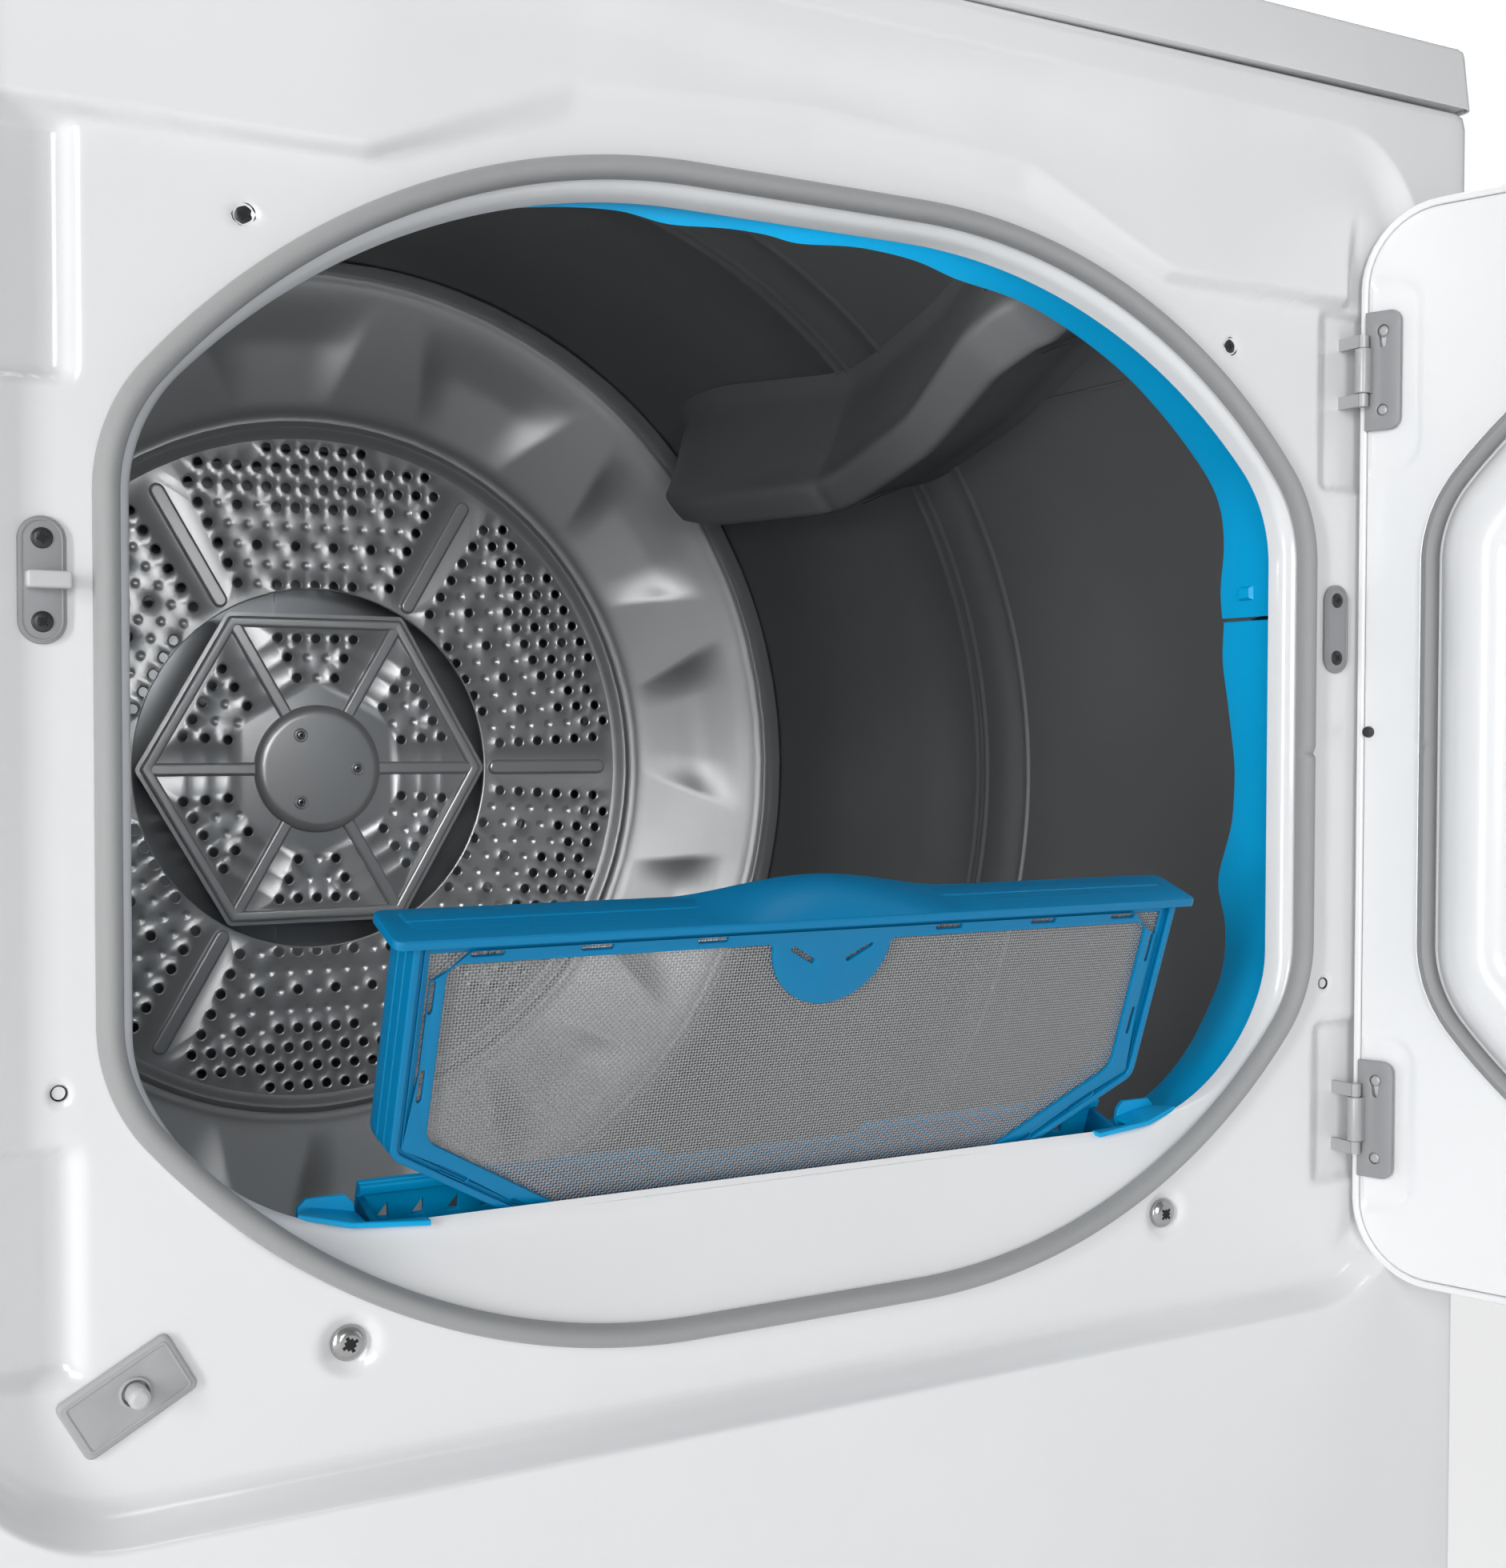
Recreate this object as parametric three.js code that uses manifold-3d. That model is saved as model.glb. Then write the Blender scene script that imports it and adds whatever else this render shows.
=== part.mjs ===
// A vented clothes dryer with its door open and its lint filter lifted from the slot.
// Millimetres, +Z up. X runs to the viewer's right, Y into the cabinet, the front faces -Y.
import * as THREE from "three";
import { mergeVertices } from "three/addons/utils/BufferGeometryUtils.js";
import Module from "manifold-3d";

const wasm = await Module();
wasm.setup();

// ---- driving dimensions, in mm; Y = 0 is the floor of the recess in the front panel ----
const cabinetWidth = 686;
const cabinetDepth = 715;
const footHeight = 22;
const basePanTop = 45;
const seamHeight = 875; // underside of the top cover's lip
const worktopHeight = 965;
const consoleRise = 153; // of the console's top over the worktop
const sheet = 0.8; // painted steel sheet
const seamGap = 0.3; // between pieces that touch
const recessDepth = 18;
const recessHalfWidth = 315;
const recessTop = 860;
const recessBottom = 331;
const recessCorner = 60;
const openingHalfWidth = 250;
const openingTop = 785;
const openingBottom = 418;
const lipDepth = 12; // how far the opening's lip lies behind the recess floor
const gasketHalfWidth = 259.5;
const gasketTop = 794.5;
const gasketBottom = 367;
const gasketWidth = 8.4;
const gasketHeight = 7;
const drumAxisHeight = 564;
const drumRadius = 329; // inside of the drum wall
const drumFront = 46;
const drumRearRoom = 94; // between the drum wall's rear end and the rear panel
const drumLipDepth = 26; // how far the front lip turns in
const glideRoom = 3.5; // between the ring behind the opening and the drum's lip
const beadDepth = 2.2;
const frontBeadPlace = 290;
const rearBeadPlace = 336;
const backStand = 43.8; // from the drum wall's rear end to the inner face of the perforated disc
const discRadius = 222;
const coverRimRadius = 122; // round opening behind the hexagonal cover plate
const hubRadius = 43;
const shaftRadius = 8;
const doorBottom = 340.5;
const doorTop = 826;
const doorHalfWidth = 290;
const doorCorner = 36;
const doorThickness = 34;
const doorPlane = -13; // inner face of the closed door
const doorOpenAngle = THREE.MathUtils.degToRad(108.2);
const hingeX = 286.5;
const hingeY = -8.3;
const hingeSpread = 169.5; // from the door's middle to each hinge
const filterTilt = THREE.MathUtils.degToRad(19.5);
const filterHalfWidth = 165;
const filterHeight = 120;
const filterThickness = 20;
const filterWall = 2.6;
const filterSeat = 6.5; // the flange's height over the slot when the filter is home
const filterHold = 23.5; // the length of the lifted filter that stays in its pocket
const filterClearance = 0.8;
const drumFacets = 36;
const pulleyRadius = 9.6;
const motorX = -150;
const motorZ = 118;
const exhaustRadius = 50.8;
const exhaustX = 125;
const exhaustStand = 8.2; // between the base pan and the exhaust pipe

// ---- derived places ----
const frontFace = -recessDepth;
const rearFace = frontFace + cabinetDepth;
const halfWidth = cabinetWidth / 2;
const doorMiddle = (doorTop + doorBottom) / 2;
const beltPlace = (frontBeadPlace + rearBeadPlace) / 2;
const openingMiddle = (gasketTop + gasketBottom) / 2;
const consoleHeight = worktopHeight + consoleRise;
const filterLift = filterHeight - filterHold;
const drumRear = rearFace - drumRearRoom;
const drumLipRadius = drumRadius - drumLipDepth;
const backPlane = drumRear + backStand;
const exhaustZ = basePanTop + exhaustStand + exhaustRadius;

// ---- colours ----
const white = { color: 0xf1f1f1, roughness: 0.22, metalness: 0 };
const greyPlastic = { color: 0xb4b6b6, roughness: 0.45, metalness: 0 };
const paleGrey = { color: 0xc4c6c5, roughness: 0.55, metalness: 0 };
const blue = { color: 0x008fc4, roughness: 0.38, metalness: 0 };
const zinc = { color: 0x8c8e8f, roughness: 0.34, metalness: 0.9 };
const darkCoat = { color: 0x3a3b3b, roughness: 0.5, metalness: 0.3 };
const lifterGrey = { color: 0x5d5f5f, roughness: 0.5, metalness: 0 };
const black = { color: 0x1b1b1c, roughness: 0.6, metalness: 0 };

const dryer = new THREE.Group();

// ---- helpers ----
function bare(geometry) {
  const copy = geometry.clone();
  copy.deleteAttribute("normal");
  copy.deleteAttribute("uv");
  const merged = mergeVertices(copy, 1e-4);
  const kept = [];
  const faces = merged.index.array;
  for (let i = 0; i < faces.length; i += 3) {
    const [a, b, c] = [faces[i], faces[i + 1], faces[i + 2]];
    if (a !== b && b !== c && c !== a) {
      kept.push(a, b, c);
    }
  }
  merged.setIndex(kept);
  return merged;
}

function solid(geometry) {
  const merged = bare(geometry);
  const made = new wasm.Manifold(
    new wasm.Mesh({
      numProp: 3,
      vertProperties: new Float32Array(merged.attributes.position.array),
      triVerts: new Uint32Array(merged.index.array),
    }),
  );
  return made;
}

function geometryOf(manifold) {
  const mesh = manifold.getMesh();
  const geometry = new THREE.BufferGeometry();
  const corners = new Float32Array(mesh.vertProperties);
  geometry.setAttribute("position", new THREE.BufferAttribute(corners, 3));
  geometry.setIndex(new THREE.BufferAttribute(new Uint32Array(mesh.triVerts), 1));
  return geometry;
}

function joined(first, ...others) {
  return geometryOf(others.reduce((sum, other) => sum.add(solid(other)), solid(first)));
}

function cut(first, ...others) {
  return geometryOf(others.reduce((rest, other) => rest.subtract(solid(other)), solid(first)));
}

function add(name, geometry, finish, parent = dryer) {
  const mesh = new THREE.Mesh(bare(geometry), new THREE.MeshStandardMaterial(finish));
  mesh.name = name;
  parent.add(mesh);
  return mesh;
}

function block(x0, x1, y0, y1, z0, z1) {
  const box = new THREE.BoxGeometry(x1 - x0, y1 - y0, z1 - z0);
  return box.translate((x0 + x1) / 2, (y0 + y1) / 2, (z0 + z1) / 2);
}

// A flat shape drawn in X and Z, thickened forwards from yBack.
function plate(shape, yBack, thickness, curveSegments = 8) {
  const made = new THREE.ExtrudeGeometry(shape, { depth: thickness, bevelEnabled: false, curveSegments });
  return made.rotateX(Math.PI / 2).translate(0, yBack, 0);
}

// A profile drawn in Y and Z, drawn out along X from x0 to x1.
const alongX = new THREE.Matrix4().makeBasis(
  new THREE.Vector3(0, 1, 0),
  new THREE.Vector3(0, 0, 1),
  new THREE.Vector3(1, 0, 0),
);
function rail(points, x0, x1) {
  const shape = new THREE.Shape(points.map(([y, z]) => new THREE.Vector2(y, z)));
  const made = new THREE.ExtrudeGeometry(shape, { depth: x1 - x0, bevelEnabled: false });
  return made.applyMatrix4(alongX).translate(x0, 0, 0);
}

// A closed profile of [radius, y] turned about the Y axis.
function turned(points, segments) {
  const loop = points.map(([r, y]) => new THREE.Vector2(r, y));
  if (points[0][0] > 0.001) {
    loop.push(loop[0].clone());
  }
  return facingOut(new THREE.LatheGeometry(loop, segments));
}

function rod(radius, y0, y1, segments = 16) {
  return new THREE.CylinderGeometry(radius, radius, y1 - y0, segments).translate(0, (y0 + y1) / 2, 0);
}

function standing(radius, z0, z1, segments = 16) {
  const made = new THREE.CylinderGeometry(radius, radius, z1 - z0, segments).rotateX(Math.PI / 2);
  return made.translate(0, 0, (z0 + z1) / 2);
}

function facingOut(geometry) {
  const merged = bare(geometry);
  const corners = merged.attributes.position;
  const faces = merged.index.array;
  const [a, b, c] = [new THREE.Vector3(), new THREE.Vector3(), new THREE.Vector3()];
  let volume = 0;
  for (let i = 0; i < faces.length; i += 3) {
    a.fromBufferAttribute(corners, faces[i]);
    b.fromBufferAttribute(corners, faces[i + 1]);
    c.fromBufferAttribute(corners, faces[i + 2]);
    volume += a.dot(b.cross(c));
  }
  if (volume < 0) {
    for (let i = 0; i < faces.length; i += 3) {
      [faces[i + 1], faces[i + 2]] = [faces[i + 2], faces[i + 1]];
    }
  }
  return merged;
}

// Skins a row of rings that all have the same number of points. A row that loops closes on
// itself, so the body has a hole through it; the other kind is capped at both ends.
function loft(rings, loops = false) {
  const count = rings[0].length;
  const corners = rings.flat().flatMap((p) => [p.x, p.y, p.z]);
  const faces = [];
  const strips = loops ? rings.length : rings.length - 1;
  for (let j = 0; j < strips; j++) {
    const near = j * count;
    const far = ((j + 1) % rings.length) * count;
    for (let i = 0; i < count; i++) {
      const next = (i + 1) % count;
      faces.push(near + i, near + next, far + next, near + i, far + next, far + i);
    }
  }
  if (!loops) {
    for (const [ring, start, turn] of [
      [rings[0], 0, false],
      [rings.at(-1), (rings.length - 1) * count, true],
    ]) {
      const middle = ring.reduce((sum, p) => sum.add(p), new THREE.Vector3()).divideScalar(count);
      const hub = corners.length / 3;
      corners.push(middle.x, middle.y, middle.z);
      for (let i = 0; i < count; i++) {
        const [first, second] = [start + i, start + ((i + 1) % count)];
        faces.push(...(turn ? [first, second, hub] : [second, first, hub]));
      }
    }
  }
  const geometry = new THREE.BufferGeometry();
  geometry.setAttribute("position", new THREE.Float32BufferAttribute(corners, 3));
  geometry.setIndex(faces);
  return facingOut(geometry);
}

// The second face of a sheet: every point moved by the thickness along the surface normal.
function backOf(rings, thickness) {
  const count = rings[0].length;
  return rings.map((ring, j) =>
    ring.map((p, i) => {
      const along = rings[Math.min(j + 1, rings.length - 1)][i].clone().sub(rings[Math.max(j - 1, 0)][i]);
      const round = ring[(i + 1) % count].clone().sub(ring[(i + count - 1) % count]);
      return p.clone().add(along.cross(round).normalize().multiplyScalar(thickness));
    }),
  );
}

// A pressed sheet with a hole in it, skinned from rings that run from its rim to the hole.
function pressedSheet(rings, thickness) {
  return loft([...rings, ...backOf(rings, thickness).reverse()], true);
}

// A pressed sheet without a hole: the rings run from the rim to the middle.
function pressedPan(rings, thickness) {
  return loft([...[...rings].reverse(), ...backOf(rings, thickness)]);
}

// A line of [radius, y] points given a thickness to its left.
function ribbon(points, thickness) {
  const line = points.map(([r, y]) => new THREE.Vector2(r, y));
  const side = line.map((p, i) => {
    const before = line[Math.max(i - 1, 0)];
    const after = line[Math.min(i + 1, line.length - 1)];
    const along = after.clone().sub(before).normalize();
    return [p.x - along.y * thickness, p.y + along.x * thickness];
  });
  return [...points, ...side.reverse()];
}

// ---- outlines, each as the distance from a centre at a given angle ----
function roundedRect(half, low, high, radius) {
  const shape = new THREE.Shape();
  shape.moveTo(half, low + radius);
  shape.lineTo(half, high - radius);
  shape.absarc(half - radius, high - radius, radius, 0, Math.PI / 2);
  shape.absarc(-half + radius, high - radius, radius, Math.PI / 2, Math.PI);
  shape.absarc(-half + radius, low + radius, radius, Math.PI, Math.PI * 1.5);
  shape.absarc(half - radius, low + radius, radius, Math.PI * 1.5, Math.PI * 2);
  return shape;
}

// One quarter of an oval: a flat stretch, a long arc, a tight arc and a straight side.
function quarterOval(half, height, flat, side, tight) {
  const reach = half - flat;
  const drop = height - side;
  const long = (reach ** 2 - 2 * tight * reach + drop ** 2) / (2 * (drop - tight));
  const turn = Math.atan2(reach - tight, long - drop);
  const points = [];
  for (let i = 0; i <= 6; i++) {
    const angle = (turn * i) / 6;
    points.push([flat + long * Math.sin(angle), height - long + long * Math.cos(angle)]);
  }
  for (let i = 1; i <= 6; i++) {
    const angle = turn + ((Math.PI / 2 - turn) * i) / 6;
    points.push([half - tight + tight * Math.sin(angle), side + tight * Math.cos(angle)]);
  }
  return points;
}

function ovalPoints(upper, lower, middle) {
  const up = upper.map(([x, z]) => [x, middle + z]);
  const down = lower.map(([x, z]) => [x, middle - z]).reverse();
  const right = [...up, ...down];
  const left = right.map(([x, z]) => [-x, z]).reverse();
  return [...right, ...left];
}

function rayLength(points, centre, angle) {
  const [dx, dz] = [Math.cos(angle), Math.sin(angle)];
  let best = 0;
  for (let i = 0; i < points.length; i++) {
    const [ax, az] = [points[i][0], points[i][1] - centre];
    const [bx, bz] = [points[(i + 1) % points.length][0], points[(i + 1) % points.length][1] - centre];
    const [ex, ez] = [bx - ax, bz - az];
    const det = ex * dz - ez * dx;
    if (Math.abs(det) < 1e-9) {
      continue;
    }
    const reach = (ex * az - ez * ax) / det;
    const share = (dx * az - dz * ax) / det;
    if (reach > 0 && share >= -1e-9 && share <= 1 + 1e-9) {
      best = Math.max(best, reach);
    }
  }
  return best;
}

function circle(x, z, radius) {
  const path = new THREE.Path();
  path.absarc(x, z, radius, 0, 2 * Math.PI, true);
  return path;
}

function cornerPoints(half, low, high) {
  return [[half, low], [half, high], [-half, high], [-half, low]];
}

function shapePoints(shape) {
  return shape.getPoints(6).map((p) => [p.x, p.y]);
}

const ovalFlat = 50;
const ovalSide = 84.6;
const ovalTight = 60;
function gasketLine(grow) {
  const height = (gasketTop - gasketBottom) / 2 + grow;
  const quarter = quarterOval(gasketHalfWidth + grow, height, ovalFlat, ovalSide, ovalTight + grow);
  return ovalPoints(quarter, quarter, openingMiddle);
}

const sillFlat = 165;
const sillSide = 90;
const sillTight = 50;
function openingLine(grow) {
  const middle = openingMiddle;
  const half = openingHalfWidth + grow;
  const upper = quarterOval(half, openingTop - middle + grow, ovalFlat, ovalSide, ovalTight + grow);
  const lower = quarterOval(half, middle - openingBottom + grow, sillFlat, sillSide, sillTight + grow);
  return ovalPoints(upper, lower, middle);
}

const cabinetLow = basePanTop + seamGap;
const cabinetHigh = seamHeight - 0.6;
const padTop = recessTop - 80; // the flat face round the opening ends here in a small step
const stepHeight = 8;
const stepDepth = 5.2;
const archRise = 20; // the step clears the gasket by this much over the opening
const pocketDepth = 3.4; // shallow pockets behind the hinges, repeated on the other side
const pocketInner = 270.5;
const pocketOuter = 302;
const pocketSpans = [
  [700, 779],
  [385, 457],
];

// The directions in which every outline of the front is sampled, closer together at the corners.
const quarterDegrees = [0, 12, 23, 31, 35.5, 39.5, 43.5, 48, 57, 68, 79];
const angles = [0, 90, 180, 270].flatMap((turn) =>
  quarterDegrees.map((degrees, i) => {
    const opposite = quarterDegrees[(quarterDegrees.length - i) % quarterDegrees.length];
    const mirrored = turn % 180 === 0 ? degrees : (90 - opposite) % 90;
    return THREE.MathUtils.degToRad(turn + mirrored);
  }),
);
const sharpCorners = [
  [halfWidth, cabinetHigh],
  [-halfWidth, cabinetHigh],
  [-halfWidth, cabinetLow],
  [halfWidth, cabinetLow],
];
for (const [x, z] of sharpCorners) {
  const corner = (Math.atan2(z - openingMiddle, x) + 2 * Math.PI) % (2 * Math.PI);
  const offBy = angles.map((angle) => Math.abs(angle - corner));
  angles[offBy.indexOf(Math.min(...offBy))] = corner;
}

function ring(points, depth, centre = openingMiddle) {
  return angles.map((angle) => {
    const reach = typeof points === "function" ? points(angle) : rayLength(points, centre, angle);
    const x = reach * Math.cos(angle);
    const z = centre + reach * Math.sin(angle);
    return new THREE.Vector3(x, typeof depth === "function" ? depth(x, z) : depth, z);
  });
}

// ---- cabinet ----
function recessOutline(side, top, bottom, radius) {
  return shapePoints(roundedRect(recessHalfWidth - side, recessBottom + bottom, recessTop - top, radius));
}

// One line of the recess wall, set in from its mouth, and its depth at the sides, roof and floor.
function wallLine(inset, depth) {
  const radius = recessCorner - inset.side;
  const outline = recessOutline(inset.side, inset.roof, inset.floor, radius);
  const archLine = gasketLine(archRise + stepHeight);
  const reach = (angle) =>
    Math.max(rayLength(outline, openingMiddle, angle), rayLength(archLine, openingMiddle, angle));
  const lateness = 6; // the depth changes towards the end of each corner
  const share = (distance) => Math.min(Math.max(distance / radius, 0), 1) ** lateness;
  const depthAt = (x, z) => {
    const roofShare = share(z - (recessTop - inset.roof - radius));
    const floorShare = share(recessBottom + inset.floor + radius - z);
    return depth.side + (depth.roof - depth.side) * roofShare + (depth.floor - depth.side) * floorShare;
  };
  return ring(reach, depthAt);
}

function frontPanel() {
  const edge = (inset) => cornerPoints(halfWidth - inset, cabinetLow + inset, cabinetHigh - inset);
  const edgeRadius = 6;
  const mouthRadius = 5;
  const padLine = cornerPoints(pocketOuter, recessBottom + 30, padTop);
  const archLine = gasketLine(archRise);
  const pad = (angle) =>
    Math.max(rayLength(padLine, openingMiddle, angle), rayLength(archLine, openingMiddle, angle));
  const sillDepth = (x, z) => (z < openingBottom + 3 ? lipDepth - 5 : lipDepth);
  const sillReturn = (x, z) => (z < openingBottom + 1 ? lipDepth - 1.5 : lipDepth + 7);
  const rings = [
    ring(edge(0), frontFace + 22),
    ring(edge(0), frontFace + edgeRadius),
    ring(edge(edgeRadius * 0.3), frontFace + edgeRadius * 0.3),
    ring(edge(edgeRadius), frontFace),
    ring(recessOutline(-mouthRadius, -mouthRadius, -mouthRadius, recessCorner + mouthRadius), frontFace),
    ring(recessOutline(0, 1, 0, recessCorner), frontFace + 2.2),
    wallLine({ side: 3, roof: 12, floor: 2 }, { side: -9, roof: -12.6, floor: -9 }),
    wallLine({ side: 7, roof: 34, floor: 6 }, { side: -2, roof: -8, floor: -4 }),
    wallLine({ side: 11, roof: recessTop - padTop - stepHeight, floor: 16 }, { side: 0, roof: -stepDepth, floor: -1.2 }),
    ring(pad, 0),
    ring(gasketLine(gasketWidth / 2 + 2), 0),
    ring(gasketLine(-gasketWidth / 2 - 1), 0),
    ring(openingLine(0), sillDepth),
    ring(openingLine(1.2), sillReturn),
  ];
  const plungerX = switchX + plungerOffset * Math.cos(switchTurn);
  const plungerZ = switchZ - plungerOffset * Math.sin(switchTurn);
  const plungerHole = rod(plungerRadius + 1.2, -12, 12, 12).translate(plungerX, 0, plungerZ);
  const slots = [-1, 1].map((side) => {
    const middle = doorMiddle + side * hingeSpread;
    return block(hingeX - 4.4, hingeX + 0.4, -12, 12, middle - 19, middle + 19);
  });
  const pans = [];
  const hollows = [];
  for (const [low, high] of pocketSpans) {
    for (const side of [-1, 1]) {
      const [x0, x1] = side > 0 ? [pocketInner, pocketOuter] : [-pocketOuter, -pocketInner];
      pans.push(block(x0 - sheet, x1 + sheet, sheet / 4, pocketDepth + sheet, low - sheet, high + sheet));
      hollows.push(block(x0, x1, -sheet, pocketDepth, low, high));
    }
  }
  return cut(joined(pressedSheet(rings, sheet), ...pans), ...hollows, plungerHole, ...slots);
}

function sidePanel(sign) {
  const flange = 12;
  const outer = sign * halfWidth;
  const inner = sign * (halfWidth - sheet);
  const lip = sign * (halfWidth - flange);
  const front = frontFace + 22 + seamGap;
  const back = rearFace - sheet - seamGap;
  const outline = [
    [outer, front],
    [outer, back],
    [lip, back],
    [lip, back - sheet],
    [inner, back - sheet],
    [inner, front + sheet],
    [lip, front + sheet],
    [lip, front],
  ];
  const shape = new THREE.Shape(outline.map(([x, y]) => new THREE.Vector2(x, y)));
  const height = cabinetHigh - cabinetLow;
  const made = new THREE.ExtrudeGeometry(shape, { depth: height, bevelEnabled: false });
  return made.translate(0, 0, cabinetLow);
}

const consoleFront = rearFace - 112;
const consoleSeat = 1.2; // the cover steps down by this much under the console
const coverOverhang = 1.5;
const coverLean = 4;
const coverLip = 28;
const coverSlopeStart = [-9, 906];
const coverSlopeEnd = 72;
function coverProfile(inset) {
  const front = frontFace - coverOverhang + inset;
  const back = rearFace - inset;
  const top = worktopHeight - inset;
  return [
    [front, seamHeight],
    [front + coverLean * 0.75, seamHeight + coverLip],
    [front + coverLean, seamHeight + coverLip + 1.5],
    [coverSlopeStart[0] + inset * 0.3, coverSlopeStart[1] - inset * 0.8],
    [coverSlopeEnd + inset * 0.3, top - 3],
    [coverSlopeEnd + 9, top],
    [consoleFront - consoleSeat - 1, top],
    [consoleFront - 1, top - consoleSeat],
    [back, top - consoleSeat],
    [back, seamHeight],
  ];
}

function topCover() {
  const skin = 1.2;
  const half = halfWidth + coverOverhang;
  const outer = rail(coverProfile(0), -half, half);
  const inner = rail(
    coverProfile(skin).map(([y, z]) => [y, z === seamHeight ? seamHeight - 1 : z]),
    -half + skin,
    half - skin,
  );
  return cut(outer, inner);
}

const cordInletX = -255;
const cordInletZ = 190;
const cordInletRadius = 14;
const ventWidth = 60;
const ventHeight = 6;
const ventPitch = 16;
const ventRows = 6;
const ventPlaces = [
  [-240, 330],
  [180, 341],
];
function rearPanel() {
  const inset = 0.4;
  const shape = outlineShape(cornerPoints(halfWidth - inset, cabinetLow, cabinetHigh));
  shape.holes.push(circle(exhaustX, exhaustZ, exhaustRadius + 1));
  shape.holes.push(circle(cordInletX, cordInletZ, cordInletRadius + 1));
  for (const [x, low] of ventPlaces) {
    for (let i = 0; i < ventRows; i++) {
      const z = low + i * ventPitch;
      const corners = [[x, z], [x, z + ventHeight], [x + ventWidth, z + ventHeight], [x + ventWidth, z]];
      shape.holes.push(new THREE.Path(corners.map(([px, pz]) => new THREE.Vector2(px, pz))));
    }
  }
  return plate(shape, rearFace, sheet, 10);
}

const basePanWall = 1.2;
function basePan() {
  const inset = 2;
  const front = frontFace + 8;
  const outer = block(
    -halfWidth + inset, halfWidth - inset, front, rearFace - inset, footHeight, basePanTop,
  );
  const wall = basePanWall;
  const inner = block(
    -halfWidth + inset + wall, halfWidth - inset - wall, front + wall, rearFace - inset - wall,
    footHeight + wall, basePanTop + 1,
  );
  return cut(outer, inner);
}

function footProfile() {
  const top = footHeight - seamGap;
  return [[0, 0], [17, 0], [19, 3], [19, 8], [7, 9], [7, top], [0, top]];
}

// The bush in the rear panel where the supply cable goes in.
function cordBush() {
  const bore = cordInletRadius - 4;
  const neck = cordInletRadius + 0.5;
  const collar = cordInletRadius + 6;
  const collarDepth = 2.5;
  const neckDepth = 6;
  const bush = turned(
    [[bore, 0], [collar, 0], [collar, collarDepth], [neck, collarDepth], [neck, neckDepth], [bore, neckDepth]],
    16,
  );
  return bush.rotateZ(Math.PI).translate(cordInletX, rearFace + collarDepth + seamGap, cordInletZ);
}

function addCabinet() {
  add("front_panel", frontPanel(), white);
  add("side_panel_left", sidePanel(-1), white);
  add("side_panel_right", sidePanel(1), white);
  add("top_cover", topCover(), white);
  add("rear_panel", rearPanel(), white);
  add("base_pan", basePan(), white);
  const footInset = 45;
  for (const [side, x] of [["left", -1], ["right", 1]]) {
    for (const [end, y] of [["front", frontFace + footInset + 8], ["rear", rearFace - footInset]]) {
      const foot = turned(footProfile(), 14).rotateX(Math.PI / 2);
      foot.translate(x * (halfWidth - footInset), y, 0);
      add(`foot_${end}_${side}`, foot, black);
    }
  }
  add("cord_inlet_bush", cordBush(), black);
}

// ---- console ----
const consoleLean = 42;
const consoleBase = worktopHeight - consoleSeat + seamGap;
const consoleHalf = halfWidth - 1;
const fasciaAngle = Math.atan2(consoleLean, consoleHeight - consoleBase - 14);

function consoleProfile(inset) {
  return [
    [consoleFront + inset, consoleBase],
    [consoleFront + inset, consoleBase + 8],
    [consoleFront + consoleLean + inset, consoleHeight - 6 - inset],
    [consoleFront + consoleLean + 8 + inset, consoleHeight - inset],
    [rearFace - 10 - inset, consoleHeight - inset],
    [rearFace - 3 - inset, consoleHeight - 8 - inset],
    [rearFace - 3 - inset, consoleBase],
  ];
}

const consoleWall = 2.5;
const fasciaHeight = 120;
const fasciaThickness = 1.6;
const timerKnob = { x: consoleHalf - 172, radius: 28, depth: 20, hole: 7, stem: 6 };
const heatKnob = { x: consoleHalf - 302, radius: 19, depth: 16, hole: 6, stem: 5 };
const startKey = { x: consoleHalf - 72, radius: 12, depth: 8, hole: 13 };

// A round knob with a skirt, a stem that goes through the fascia, and a straight grip across it.
function knob({ radius, depth, stem }) {
  const skirt = 4;
  const stemLength = 12;
  const gripHalf = 2.5;
  const body = turned(
    [[0, -depth], [radius * 0.72, -depth], [radius * 0.82, -depth + 2], [radius * 0.86, -skirt - 1],
      [radius, -skirt], [radius, 0], [stem, 0], [stem, stemLength], [0, stemLength]],
    20,
  );
  const grip = block(-gripHalf, gripHalf, -depth - 3, -depth + 6, -radius * 0.7, radius * 0.7);
  return joined(body, grip);
}

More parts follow.
